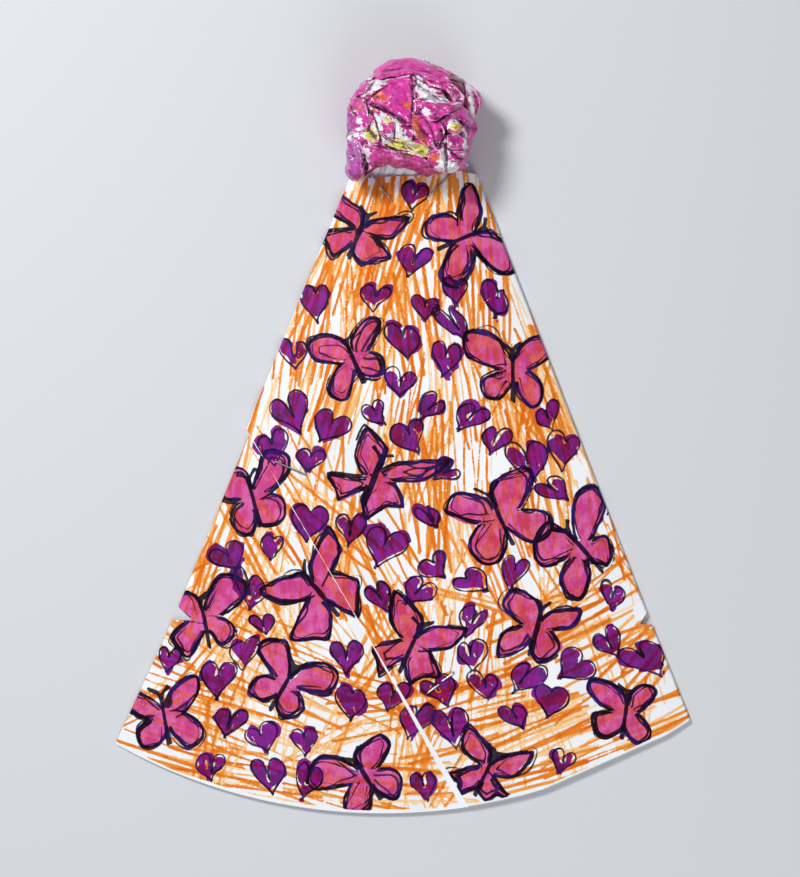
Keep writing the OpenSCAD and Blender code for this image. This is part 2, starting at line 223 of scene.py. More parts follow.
class Raster:
    """Signed distances in mm, positive inside ink, over a rectangle of the drawing."""

    def __init__(self, box, pitch):
        self.corner, self.pitch = np.array(box[:2]), pitch
        self.xs, self.ys = np.arange(box[0], box[2], pitch), np.arange(box[1], box[3], pitch)
        self.f = {k: np.full((len(self.ys), len(self.xs)), BLANK[k]) for k in FIELDS}

    def window(self, pts, margin=3.2):
        """The part of the grid round some points: its slices and the places of its cells."""
        p = np.asarray(pts)
        ends = ((np.array([p.min(0) - margin, p.max(0) + margin]) - self.corner) / self.pitch).astype(int)
        (i0, j0), (i1, j1) = np.clip(ends, 0, (len(self.xs), len(self.ys)))
        if i1 - i0 < 2 or j1 - j0 < 2:
            return None, None, None
        x, y = np.meshgrid(self.xs[i0:i1], self.ys[j0:j1])
        return (slice(j0, j1), slice(i0, i1)), x, y

    def sample(self, name, x, y):
        return bilinear(self.f[name], (x - self.corner[0]) / self.pitch, (y - self.corner[1]) / self.pitch)


def line_distance(x, y, pts, closed=False):
    """Distance to a polyline, and the signed distance across its nearest stretch."""
    p = np.asarray(pts, float)
    if closed:
        p = np.vstack([p, p[:1]])
    best = np.full(x.shape, 1e9)
    side = np.zeros(x.shape)
    for a, b in zip(p[:-1], p[1:]):
        e = b - a
        n2 = max(e @ e, 1e-9)
        t = np.clip(((x - a[0]) * e[0] + (y - a[1]) * e[1]) / n2, 0, 1)
        dx, dy = x - a[0] - t * e[0], y - a[1] - t * e[1]
        d = np.hypot(dx, dy)
        near = d < best
        side = np.where(near, (dx * e[1] - dy * e[0]) / math.sqrt(n2), side)
        best = np.where(near, d, best)
    return best, side


def area_distance(x, y, pts):
    """Signed distance to a closed outline, positive inside."""
    p = np.asarray(pts, float)
    d, _ = line_distance(x, y, p, closed=True)
    inside = np.zeros(x.shape, bool)
    for a, b in zip(p, np.roll(p, -1, 0)):
        if a[1] != b[1]:
            cross = (y < a[1]) != (y < b[1])
            inside ^= cross & (x < a[0] + (y - a[1]) * (b[0] - a[0]) / (b[1] - a[1]))
    return np.where(inside, d, -d)


def add_stroke(r, pts, half, tone):
    """An orange stroke: its depth goes into the ranking of the three nearest."""
    w, x, y = r.window(pts)
    if w is None:
        return
    d, side = line_distance(x, y, pts)
    v = half - d
    top = v > r.f["o1"][w]
    r.f["ot"][w] = np.where(top, tone, r.f["ot"][w])
    r.f["os"][w] = np.where(top, side, r.f["os"][w])
    for key in ("o1", "o2", "o3"):
        old = r.f[key][w]
        r.f[key][w], v = np.maximum(old, v), np.minimum(old, v)


def add_max(r, name, pts, value_of, margin=3.2):
    w, x, y = r.window(pts, margin)
    if w is not None:
        r.f[name][w] = np.maximum(r.f[name][w], value_of(x, y))


def curve(pts, n=8, closed=False):
    """A smooth line through a few points."""
    p = np.asarray(pts, float)
    m = len(p)
    out = []
    for i in range(m if closed else m - 1):
        q = [p[(i + k) % m] if closed else p[min(max(i + k, 0), m - 1)] for k in (-1, 0, 1, 2)]
        for t in np.arange(n) / n:
            out.append(0.5 * ((2 * q[1]) + (q[2] - q[0]) * t + (2 * q[0] - 5 * q[1] + 4 * q[2] - q[3]) * t * t
                              + (3 * q[1] - q[0] - 3 * q[2] + q[3]) * t ** 3))
    if not closed:
        out.append(p[-1])
    return np.array(out)


def turn(pts, deg):
    c, s = cos(deg), sin(deg)
    return np.asarray(pts, float) @ np.array([[c, s], [-s, c]])


def scribble(r, rng, at, deg, length, width, gap, dry):
    """A patch of quick to-and-fro felt-tip strokes, most of them joined end to end."""
    e = turn([[1, 0]], deg)[0]
    f = np.array([-e[1], e[0]])
    fan = rng.normal(0, 0.11)
    thick = rng.uniform(0.28, 0.5)
    off = -width / 2
    last, i = None, 0
    while off < width / 2:
        off += gap * rng.uniform(0.4, 1.6)
        end = 1 if i % 2 else -1
        a = at + f * off * (1 + fan * end) + e * end * length / 2 * (1 + rng.normal(0, 0.16))
        b = at + f * (off + gap / 2) * (1 - fan * end) - e * end * length / 2 * (1 + rng.normal(0, 0.16))
        if last is not None and rng.uniform() < 0.68:
            a = last + rng.normal(0, 0.28, 2)
        bow = f * rng.normal(0, 0.6)
        t = np.linspace(0, 1, 7)[:, None]
        pts = a + (b - a) * t + bow * 2.4 * t * (1 - t) + rng.normal(0, 0.05, (7, 2))
        tone = rng.uniform(0, 1) if rng.uniform() > dry else rng.uniform(-0.6, 0)
        add_stroke(r, pts, thick + rng.normal(0, 0.04) - (0.06 if tone < 0 else 0), tone)
        last, i = b, i + 1


def keep_nearest(r, name, outline, hidden_in=()):
    """Records a closed pen line as a signed distance, where it is the nearest one. It stops inside the other rings."""
    w, x, y = r.window(outline, 2.6)
    if w is not None:
        d = -area_distance(x, y, outline)
        hidden = np.full(x.shape, -9.0)
        for ring in hidden_in:
            hidden = np.maximum(hidden, area_distance(x, y, ring))
        d = np.clip(d + np.where(d > 0, 9.0, -9.0) * smooth(hidden, -0.1, 0.5), -8.9, 8.9)
        r.f[name][w] = np.where(np.abs(d) < np.abs(r.f[name][w]), d, r.f[name][w])


def set_tone(r, outline, tone, reach=0.9):
    w, x, y = r.window(outline, 1.4)
    if w is not None:
        r.f["mt"][w] = np.where(area_distance(x, y, outline) > -reach, tone, r.f["mt"][w])


def wobbled(rng, ring, amount):
    """The ring drawn again by hand: pushed in and out by a few slow waves."""
    t = np.arange(len(ring)) / len(ring) * 2 * math.pi
    tangent = np.roll(ring, -1, 0) - np.roll(ring, 1, 0)
    n = np.column_stack([tangent[:, 1], -tangent[:, 0]])
    n /= np.linalg.norm(n, axis=1)[:, None] + 1e-9
    push = sum(rng.normal(0, amount / k ** 0.5) * np.sin(k * t + rng.uniform(0, 6.3)) for k in (1, 2, 3, 5))
    return ring + n * push[:, None] + rng.normal(0, amount * 0.5, 2)


def heart_outline(w, h, notch, n=40):
    t = np.linspace(0, 2 * math.pi, n, endpoint=False)
    x = np.sin(t) ** 3
    y = (13 * np.cos(t) - 5 * np.cos(2 * t) - 2 * np.cos(3 * t) - np.cos(4 * t)) / 16
    y = y - notch * np.exp(-(t / 0.42) ** 2) - notch * np.exp(-((t - 2 * math.pi) / 0.42) ** 2)
    return np.stack([x * w / 2, (y + 0.1) * h / 2], -1)


def draw_heart(r, rng, at, size):
    w, h = size * rng.uniform(0.82, 1.12), size * rng.uniform(0.92, 1.28)
    base = heart_outline(w, h, rng.uniform(0.1, 0.8) if rng.uniform() < 0.86 else -0.1)
    base[:, 0] += base[:, 1] * rng.normal(0, 0.26)
    base *= np.where(base[:, :1] > 0, rng.uniform(0.74, 1.2), 1.0)
    deg = rng.normal(0, 20)
    fill = wobbled(rng, turn(base * rng.uniform(0.96, 1.06), deg) + at, 0.3)
    pen = wobbled(rng, turn(base * rng.uniform(0.94, 1.04), deg + rng.normal(0, 6)) + at, 0.18)
    lane = turn([[0, 1]], rng.normal(0, 35))[0]
    chinks = []
    for _ in range(rng.integers(0, 4)):
        c = at + turn([[size * rng.uniform(0.12, 0.38), 0]], rng.uniform(0, 360))[0]
        e = turn([[rng.uniform(0.4, 1.2), 0]], 90 + rng.normal(0, 25) + deg)[0]
        chinks.append((c - e, c + e, rng.uniform(0.05, 0.13)))

    def value(x, y):
        across = (x - at[0]) * lane[0] + (y - at[1]) * lane[1]
        along = (y - at[1]) * lane[0] - (x - at[0]) * lane[1]
        v = area_distance(x, y, fill) + 0.7 * noise(flat3(across + 9 * at[0], 0.08 * along + at[1]), 1.3)
        for a, b, half in chinks:
            v = np.minimum(v, line_distance(x, y, [a, b])[0] - half)
        return v

    add_max(r, "hf", fill, value)
    tone = rng.uniform(0, 1)
    set_tone(r, fill, tone)
    keep_nearest(r, "hl", pen)


WINGS = {
    "pointed": ([(0.0, 1.6), (1.6, 4.8), (8.2, 7.8), (6.8, 2.6), (2.4, 0.2), (0.0, -0.4)],
                [(0.0, 0.4), (3.4, 0.2), (7.8, -3.2), (5.4, -4.6), (3.4, -7.2), (0.8, -4.4), (0.0, -2.6)]),
    "round": ([(0.0, 1.2), (1.2, 4.8), (4.0, 7.0), (7.6, 6.0), (7.8, 2.6), (3.4, 0.2), (0.0, -0.6)],
              [(0.0, 0.6), (3.4, 0.0), (6.3, -1.9), (6.0, -4.9), (3.2, -6.3), (0.9, -4.6), (0.0, -2.4)]),
    "long": ([(0.0, 1.4), (1.8, 4.6), (5.4, 6.8), (8.6, 6.0), (8.2, 3.0), (3.6, 0.4), (0.0, -0.6)],
             [(0.0, 0.6), (3.2, 0.2), (6.4, -2.2), (6.4, -5.4), (3.6, -6.6), (1.0, -4.2), (0.0, -2.0)]),
}


def draw_butterfly(r, rng, at, s, kind):
    deg = rng.normal(0, 28)
    tone = rng.uniform(0, 1)
    lean = rng.normal(0, 0.12)
    wings = []
    for flip in (1, -1):
        wide = rng.uniform(0.84, 1.12)
        for lobe in WINGS[kind]:
            p = np.array(lobe, float)
            p[1:-1] = p[1:-1] * rng.uniform(0.86, 1.14, 2) + rng.normal(0, 0.35, (len(p) - 2, 2))
            p[:, 0] = p[:, 0] * flip * wide + p[:, 1] * lean
            p *= s
            shape = curve(p, 5, closed=True)
            if kind == "pointed":
                sharp = np.vstack([p[j] + (p[(j + 1) % len(p)] - p[j]) * t for j in range(len(p)) for t in
                                   np.arange(5)[:, None] / 5])
                shape = shape * 0.6 + sharp * 0.4
            wings.append(turn(shape, deg) + at)
    t = np.linspace(0, 2 * math.pi, 16, endpoint=False)
    middle = turn(np.stack([1.45 * np.cos(t), 1.9 * np.sin(t) - 0.4], -1) * s, deg) + at
    for ring in wings + [middle]:
        fill = wobbled(rng, ring, 0.24)
        add_max(r, "pf", fill, lambda x, y: area_distance(x, y, fill))
        set_tone(r, fill, tone)
    strokes = []
    for k, ring in enumerate(wings):
        keep_nearest(r, "k%d" % (k + 1), wobbled(rng, ring, 0.14), wings[:k] + wings[k + 1:] + [middle])
        tip = int(np.argmax(np.hypot(*(ring - at).T)))
        for _ in range(3):
            start, count = tip + rng.integers(-13, 5), rng.integers(6, 12)
            part = ring[np.arange(start, start + count) % len(ring)]
            strokes.append((part + rng.normal(0, 0.36, 2), rng.uniform(0.2, 0.32)))
    body = turn(np.array([[-lean * 0.4, 4.2], [rng.normal(0, .15), 0], [lean * -1.0, -5.6]]) * s, deg) + at
    strokes += [(body + rng.normal(0, 0.24, body.shape), rng.uniform(0.38, 0.54)) for _ in range(3)]
    for flip in (1, -1):
        tip = np.array([[0.0, 3.2], [flip * 0.6, 4.5], [flip * rng.uniform(1.2, 2.2), rng.uniform(4.9, 5.9)]])
        tip = turn(tip * s, deg) + at
        strokes += [(tip + rng.normal(0, 0.22, tip.shape), rng.uniform(0.28, 0.42)) for _ in range(3)]
    for pts, half in strokes:
        add_max(r, "kk", pts, lambda x, y: half - line_distance(x, y, pts)[0])


def leave_bare(r, outline):
    """A place on the sheet that no pen reached."""
    w, x, y = r.window(outline, 1.5)
    d = area_distance(x, y, outline)
    for name in ("o1", "o2", "o3"):
        r.f[name][w] = np.minimum(r.f[name][w], -d)


def inside_dress(x, y, margin):
    d = -y
    return ((d > NECK_DROP + margin) & (x > outer_left(d) + margin) & (x < right_x(d) - margin)
            & (y > hem_y(x) + margin))


def spread(rng, count, margin, own, taken, tries=500):
    """Best-candidate places, each kept clear of the ones already there."""
    placed = []
    for _ in range(count):
        c = np.stack([rng.uniform(-78, 74, tries), rng.uniform(-213, -46, tries)], -1)
        c = c[inside_dress(c[:, 0], c[:, 1], margin)]
        if not len(c):
            continue
        room = np.full(len(c), 60.0)
        for q, radius in [(q, own) for q in placed] + taken:
            room = np.minimum(room, np.hypot(*(c - q).T) - own - radius)
        placed.append(c[int(np.argmax(room))])
    return placed


def settled(places, radii, held, times=160):
    """The places pushed apart until circles round them hardly overlap, and back onto the sheet."""
    p, r = np.array(places), np.array(radii)
    walls = [((cos(LEFT_DEG), -sin(LEFT_DEG)), 0.0), ((-cos(RIGHT_DEG), -sin(RIGHT_DEG)), 0.0),
             ((0.0, -1.0), NECK_DROP)]
    for _ in range(times):
        d = p[:, None] - p[None]
        dist = np.hypot(d[..., 0], d[..., 1]) + 1e3 * np.eye(len(p))
        push = np.clip(r[:, None] + r[None] - dist, 0, None)
        p = p + 0.3 * (d / dist[..., None] * push[..., None]).sum(1)
        for q, radius in held:
            d = p - q
            dist = np.hypot(d[:, 0], d[:, 1])
            p = p + d / dist[:, None] * np.clip(r + radius - dist, 0, None)[:, None]
        for n, off in walls:
            p = p + np.array(n) * np.clip(0.9 * r - (p @ np.array(n) - off), 0, None)[:, None]
        v = p - HEM_C
        dist = np.hypot(v[:, 0], v[:, 1])
        p = p - v / dist[:, None] * np.clip(0.9 * r - (HEM_R - dist), 0, None)[:, None]
    return p


BARE_TAB = [(634, 604), (641, 600), (650, 604), (650, 618), (643, 619), (636, 621), (633, 612)]
TILE = 17.5


def bearing(v):
    return math.degrees(math.atan2(v[1], v[0]))


def scribble_lie(rng, at, back):
    """Direction, length and width of a patch: along the hem, along the seam or away from the cone's tip."""
    seam_off = (at[0] - seam_x(-at[1])) * cos(SEAM_DEG)
    if math.hypot(*(at - HEM_C)) - HEM_R > -40 + rng.normal(0, 5) and at[1] < -140:
        return bearing(at - HEM_C) + 90 + rng.normal(0, 7), rng.uniform(24, 38), 15
    if not back and at[1] < -118 and -22 < seam_off < 8:
        return SEAM_DEG - 90 + rng.normal(0, 8), rng.uniform(20, 34), 14
    return bearing(at) + rng.normal(0, 9), rng.uniform(20, 36), 15


def draw_side(seed, back=False):
    """One face of the dress: scribble first, then butterflies, then hearts between them."""
    rng = np.random.default_rng(seed)
    r = Raster((-86.0, -217.0, 82.0, -39.0), 0.25)
    for gy in np.arange(-222, -34, TILE):
        for gx in np.arange(-90, 90, TILE):
            at = np.array([gx, gy]) + rng.uniform(-5, 5, 2)
            if inside_dress(*at, -9.0):
                scribble(r, rng, at, *scribble_lie(rng, at, back), rng.uniform(1.3, 2.0), 0.4)
    # loose strokes over the patches, then dry ones
    for count, low, high, margin, sway, length, width, gap, dry in (
            (44, -210, -50, 2.0, 32, (12, 32), 5, 1.5, 0.5), (60, -212, -48, -3.0, 12, (16, 34), 9, 1.6, 1.0)):
        for _ in range(count):
            at = np.array([rng.uniform(-75, 75), rng.uniform(low, high)])
            if inside_dress(*at, margin):
                scribble(r, rng, at, bearing(at) + rng.normal(0, sway), rng.uniform(*length), width, gap, dry)
    clear = [] if back else [(from_px(BARE_TAB).mean(0), 1.5)]
    scales, sizes = rng.uniform(1.22, 1.56, 17), rng.uniform(7.3, 10.3, 66)
    flies = spread(rng, len(scales), 7.6, 12.4, clear)
    hearts = spread(rng, len(sizes), 4.4, 5.0, [(q, 9.2) for q in flies] + clear)
    at = settled(flies + hearts, np.concatenate([7.3 * scales, 0.47 * sizes]), clear)
    kinds = ["long", "round", "pointed", "long", "round", "long", "pointed"]
    for i, scale in enumerate(scales):
        draw_butterfly(r, rng, at[i], scale, kinds[i % len(kinds)])
    for place, size in zip(at[len(scales):], sizes):
        draw_heart(r, rng, place, size)
    if not back:
        leave_bare(r, from_px(BARE_TAB))
    return r


# ---------------------------------------------------------------- sheets of paper


def key_rows(cell, keys):
    """Fine rows between key rows of (left drop, right drop, share of the notch depth)."""
    out = [keys[0]]
    for a, b in zip(keys[:-1], keys[1:]):
        a, b = np.array(a, float), np.array(b, float)
        n = max(1, int(round(max(abs(b[0] - a[0]), abs(b[1] - a[1])) / cell)))
        out += [a + (b - a) * k / n for k in range(1, n + 1)]
    return [np.array(k, float) for k in out]


TOP_KEY = (NECK_DROP + NECK_SLANT / 2, NECK_DROP - NECK_SLANT / 2, 0)
KEYS = [TOP_KEY, (NOTCH_L, NOTCH_R, 0), (NOTCH_L + NOTCH_H * 0.97, NOTCH_R + NOTCH_H * 0.97, 1),
        (NOTCH_L + NOTCH_H, NOTCH_R + NOTCH_H, 0), (LAST_STRAIGHT, LAST_STRAIGHT, 0)]


EDGE = (0.06, 0.16, 0.3, 0.5)
COARSE = 6.0


def u_list(width, cell, edges=(), fine_to=None):
    """Places 0..1 across a row, closer together near the ends named in edges. Past fine_to they are coarse."""
    def even(a, b, size):
        return np.linspace(a, b, max(3, int(round(width * (b - a) / size)) + 1))

    u = even(0, fine_to or 1, cell)
    if fine_to:
        u = np.concatenate([u, even(fine_to, 1, COARSE)[1:]])
    for side in edges:
        near = np.array(EDGE) / width
        u = np.append(u, near if side == "left" else 1 - near)
    return np.unique(np.round(u, 7)) if edges else u


def zipper(ia, ua, ib, ub):
    """Triangles between two rows of vertices, row b below row a."""
    na = np.searchsorted(ub[1:], ua[1:], side="left")
    nb = np.searchsorted(ua[1:], ub[1:], side="right")
    na, nb = np.minimum(na, len(ub) - 1), np.minimum(nb, len(ua) - 1)
    first = np.stack([ia[:-1], ib[na], ia[1:]], -1)
    second = np.stack([ia[nb], ib[:-1], ib[1:]], -1)
    return np.concatenate([first, second])


def new_object(name, data):
    ob = bpy.data.objects.new(name, data)
    bpy.context.scene.collection.objects.link(ob)
    return ob


def new_mesh(name, co, tri, uv=None, attrs=None, material=None, sharp=38.0):
    """An object from points in metres, triangles, a place on the image for each corner and point values."""
    me = bpy.data.meshes.new(name)
    co, tri = np.asarray(co, np.float32), np.asarray(tri, np.int32)
    me.vertices.add(len(co))
    me.vertices.foreach_set("co", co.ravel())
    me.loops.add(tri.size)
    me.loops.foreach_set("vertex_index", tri.ravel())
    me.polygons.add(len(tri))
    me.polygons.foreach_set("loop_start", np.arange(0, tri.size, 3, dtype=np.int32))
    me.update(calc_edges=True)
    if uv is not None:
        me.uv_layers.new(name="OFBake").data.foreach_set("uv", np.asarray(uv, np.float32).ravel())
    for key, value in (attrs or {}).items():
        me.attributes.new(key, "FLOAT", "POINT").data.foreach_set("value", np.asarray(value, np.float32))
    me.polygons.foreach_set("use_smooth", np.ones(len(tri), bool))
    me.set_sharp_from_angle(angle=math.radians(sharp))
    me.validate()
    me.materials.append(material)
    return new_object(name, me)


def paper_piece(name, rows, height, raster, material, drawn_low=False, bare=None):
    """A closed sheet of paper between rows made by make_row. height gives its drawn face, the upper one unless
    drawn_low, and the plain face lies the paper's thickness away. Where bare is below 0 there is no ink."""
    co, flat, is_drawn, count = [], [], [], 0
    drawn, plain = [], []
    thick = PAPER if drawn_low else -PAPER
    for k, row in enumerate(rows):
        for ids, key in ((drawn, "u"), (plain, "u" if k in (0, len(rows) - 1) else "cu")):
            u = row[key]
            p = row["line"](u)
            z = height(p[:, 0], p[:, 1], u, row)
            q = p.copy()
            if ids is plain:
                z = z + thick
                for side in row["lips"]:
                    j, way = (0, 1) if side == "left" else (-1, -1)
                    q[j, 0] += way * PAPER
                    z[j] -= thick
            ids.append((np.arange(count, count + len(u)), u))
            count += len(u)
            co.append(np.column_stack([q, z]))
            flat.append(p)
            is_drawn.append(np.full(len(u), ids is drawn))
    co, flat, is_drawn = np.concatenate(co), np.concatenate(flat), np.concatenate(is_drawn)
    tris = []

    def add(t, flipped):
        tris.append(t[:, ::-1] if flipped else t)

    for k in range(len(rows) - 1):
        add(zipper(*drawn[k], *drawn[k + 1]), drawn_low)
        add(zipper(*plain[k], *plain[k + 1]), not drawn_low)
        for s in (0, -1):
            a, c, d, e = drawn[k][0][s], plain[k][0][s], drawn[k + 1][0][s], plain[k + 1][0][s]
            add(np.array([[a, c, d], [d, c, e]]), (s == 0) == drawn_low)
    for k in (0, len(rows) - 1):
        add(zipper(*drawn[k], *plain[k]), (k > 0) == drawn_low)
    tri = np.concatenate(tris)
    lo, hi = flat.min(0), flat.max(0)
    place = (flat - lo) / ((hi - lo).max() * 1.02)
    uv = np.where(is_drawn[tri].any(1)[:, None, None], place[tri] + 0.01, place[tri] * 0.16 + (0.01, 0.83))
    attrs = {}
    for key in FIELDS:
        attrs[key] = np.full(len(co), BLANK[key])
        attrs[key][is_drawn] = raster.sample(key, flat[is_drawn, 0], flat[is_drawn, 1])
    if bare is not None:
        cut = bare(flat[:, 0], flat[:, 1])
        for key in INKS:
            attrs[key] = np.minimum(attrs[key], cut)
        for key in LINES:
            attrs[key] = np.where(cut < 0, NO_LINE, attrs[key])
    return new_mesh(name, to_row(co), tri, uv, attrs, material)


def straight(a, b):
    a, b = np.array(a, float), np.array(b, float)
    return lambda u: a + (b - a) * np.asarray(u, float)[..., None]


LIP = 0.7
LIP_OUT = 0.12
LIP_Z = 0.03


def zigzag(t):
    """A triangle wave between -1 and 1, of length 1."""
    return np.abs((t % 1.0) - 0.5) * 4 - 1


def relief(x, y, u):
    """Slow buckles and a few soft creases of handled paper, the same for every layer of the front."""
    p = flat3(x, y)
    soft = 0.16 * noise(p, 34.0) + 0.07 * noise(p + 90, 13.0) + 0.02 * noise(p + 40, 4.0)
    gather = 0.14 * smooth(-np.asarray(y), 62.0, 44.0) * zigzag(x * 0.36 + 0.25 * noise(p, 6.0))
    return (soft + gather) * (1 - np.abs(2 * np.clip(u, 0, 1) - 1) ** 4)


# creases of the front below the neck and at the snips: their line, depth and width
CREASES = [([(-11.6, -42.6), (-12.6, -52.0), (-14.5, -58.0)], 0.3, 0.5), ([(-6.5, -49.6), (-5.6, -58.0)], 0.25, 0.6),
           ([(3.7, -48.2), (2.4, -58.5)], 0.22, 0.6), ([(10.0, -42.0), (12.4, -52.5)], 0.28, 0.5),
           ([(-30.0, -119.0), (-24.0, -112.0)], 0.12, 0.8), ([(55.7, -165.5), (48.0, -166.5)], 0.12, 0.7)]


def in_box(x, y, pts, margin):
    lo, hi = np.min(pts, 0) - margin, np.max(pts, 0) + margin
    return (x > lo[0]) & (x < hi[0]) & (y > lo[1]) & (y < hi[1])


def creased(x, y):
    out = np.zeros(np.shape(x))
    for pts, depth, width in CREASES:
        near = in_box(x, y, pts, 3)
        if near.any():
            out[near] -= depth * np.exp(-(line_distance(x[near], y[near], pts)[0] / width) ** 2)
    return out


def slit(x, y):
    """The snip at the right has torn on inwards: the paper below it stands a little proud."""
    a, b = np.array([66.0, -163.4]), np.array([55.7, -165.6])
    e = (b - a) / np.linalg.norm(b - a)
    along = (x - a[0]) * e[0] + (y - a[1]) * e[1]
    across = (x - a[0]) * e[1] - (y - a[1]) * e[0]
    length = np.linalg.norm(b - a)
    open_by = np.clip(1 - along / length, 0, 1) * smooth(along, -6, -2)
    return 0.55 * open_by * smooth(across, -0.12, 0.12) * np.exp(-np.clip(across, 0, None) / 5.0)


def lipped(z, u, row):
    """Rolls the sheet down at its folded ends."""
    for side in row["lips"]:
        t = np.clip((u if side == "left" else 1 - u) * row["width"] / LIP, 0, 1)
        z = np.where(t < 1, LIP_Z + (z - LIP_Z) * np.sqrt(1 - (1 - t) ** 2), z)
    return z


def make_row(a, b, cell, lips=(), edges=None, fine_to=None, line=None):
    """A row across a sheet from a to b, or along line: u are its places on the drawn face, cu on the plain one.
    lips names the ends that fold down."""
    w = float(b[0] - a[0])
    return {"line": line or straight(a, b), "u": u_list(w, cell, lips if edges is None else edges, fine_to),
            "cu": coarse_u(lips, w), "lips": lips, "width": float(np.linalg.norm(np.subtract(b, a)))}


FINE = 0.385
BACK_CELL = 0.58
HEM_TOUCH = 0.02


def cut_row(row, left, right):
    """The same row, stopping short of its ends by some mm, with its other places unmoved."""
    if left or right:
        lo, hi = left / row["width"], 1 - right / row["width"]
        for key in ("u", "cu"):
            u = row[key]
            row[key] = np.concatenate([[lo], u[(u > lo + 1e-4) & (u < hi - 1e-4)], [hi]])
    return row


def coarse_u(lips, width):
    extra = [{"left": 0.45 / width, "right": 1 - 0.45 / width}[side] for side in lips]
    return np.unique(np.round(np.concatenate([np.linspace(0, 1, max(3, int(width / 9) + 2)), extra]), 7))


def arch(x):
    """How far the paper's edge bows up at the neck, where it was pulled in by the right staple."""
    return 1.5 * np.exp(-((x - 9.8) / 3.4) ** 2)


def arched(line):
    def out(v):
        p = np.array(line(v), float)
        p[..., 1] += np.clip(1 + (p[..., 1] + 42.1) / 7.0, 0, 1) ** 2 * arch(p[..., 0])
        return p
    return out


def to_hem(start, left, right, more=0.0):
    """Lines between the last straight row and the hem, by their share t of the way down."""
    def at(t):
        def line(v):
            hx = left + (right - left) * np.asarray(v, float)
            return start["line"](v) * (1 - t) + np.stack([hx, hem_y(hx, more)], -1) * t
        return line
    return at


def hem_margin(x, y):
    """Below 0 in the strip along the hem that no pen reached."""
    return (y - hem_y(x)) * 0.88 - 0.35 - 0.3 * noise(flat3(x, y), 7.0)


def front_piece(raster, material):
    keys = list(KEYS)
    t = (SEAM_START - keys[0][0]) / (keys[1][0] - keys[0][0])
    keys.insert(1, (SEAM_START, keys[0][1] + (keys[1][1] - keys[0][1]) * t, 0))
    rows = []
    for dl, dr, n in key_rows(FINE, keys):
        folded = dl < SEAM_START - 0.01
        a = (outer_left(dl) - LIP_OUT if folded else seam_x(dl), -dl)
        lips = [side for side, on in (("left", folded), ("right", n == 0)) if on]
        rows.append(cut_row(make_row(a, (right_x(dr) + LIP_OUT, -dr), FINE, lips), 0, n * NOTCH_R_IN))
    down = to_hem(rows[-1], HEM_SEAM, HEM_RIGHT + LIP_OUT)
    count = int(26 / FINE)
    for k in range(1, count + 1):
        line = down(k / count)
        w = float(np.linalg.norm(line(1.0) - line(0.0)))
        rows.append(make_row((0, 0), (w, 0), FINE, ["right"], line=line))
    for row in rows[:int(7 / FINE)]:
        row["line"] = arched(row["line"])

    def height(x, y, u, row):
        lift = 0.22 * smooth(-y, 150, 210) * np.exp(-np.clip((x - seam_x(-y)) * cos(SEAM_DEG), 0, None) / 2.5)
        z = inner_z(x, y) + LAYER + PAPER + relief(x, y, across(x, y)) + creased(x, y) + slit(x, y)
        return lipped(z + np.where(-y > SEAM_START, lift, 0), u, row)

    return paper_piece("dress_front", rows, height, raster, material, bare=hem_margin)


def inner_piece(raster, material):
    rows = []
    shown_from = (104.0, 104.2, 0)
    keyed = key_rows(3.0, [KEYS[0], shown_from])[:-1] + key_rows(FINE, [shown_from] + KEYS[1:])
    for dl, dr, n in keyed:
        shown = ["left"] if dl > SEAM_START - 2 else []
        a = (left_x(dl) - (LIP_OUT if shown else 0), -dl)
        b = (right_x(dr) - FOLD_NEST, -dr)
        fine_to = None
        if dl > shown_from[0]:
            fine_to = float(np.clip((seam_x(dl) + 2.5 - a[0]) / float(b[0] - a[0]), 0.02, 0.98))
        row = make_row(a, b, FINE if fine_to else COARSE, shown if n == 0 else [], shown, fine_to)
        rows.append(cut_row(row, n * NOTCH_L_IN, n * NOTCH_R_IN))
    down = to_hem(rows[-1], left_corner[0] - LIP_OUT, HEM_RIGHT - FOLD_NEST, HEM_STEP)
    count = int(27 / FINE)
    v = np.linspace(0, 1, 400)
    for k in range(1, count + 1):
        line = down(k / count)
        p = line(v)
        fine_to = float(np.clip(np.interp(2.5, p[:, 0] - seam_x(-p[:, 1]), v), 0.05, 0.98))
        rows.append(make_row((p[0, 0], 0), (p[-1, 0], 0), FINE, ["left"], fine_to=fine_to, line=line))

    def height(x, y, u, row):
        return lipped(inner_z(x, y) + PAPER + relief(x, y, across(x, y)) + creased(x, y), u, row)

    def bare(x, y):
        strip = 0.1 + 1.75 * ramp(-y, 156, 213) ** 1.4
        off = (seam_x(-y) - x) * cos(SEAM_DEG) - strip - 0.12 * noise(flat3(x, y), 5.0)
        return np.minimum(off, hem_margin(x, y))

    return paper_piece("dress_inner", rows, height, raster, material, bare=bare)


def hem_meet(start, slope, more):
    """Where a line going down from start, by slope to the side for each mm, meets the hem's arc."""
    r = HEM_R + more
    d = np.array(start) - HEM_C
    a, b, c = 1 + slope * slope, d[0] * slope - d[1], d @ d - r * r
    go = (math.sqrt(b * b - a * c) - b) / a
    return np.array(start) + go * np.array([slope, -1.0])


LEFT_LOW = NOTCH_L + NOTCH_H
left_corner = hem_meet((float(left_x(LEFT_LOW)), -LEFT_LOW), -tan(LEFT_DEG + LEFT_FLARE), HEM_STEP)


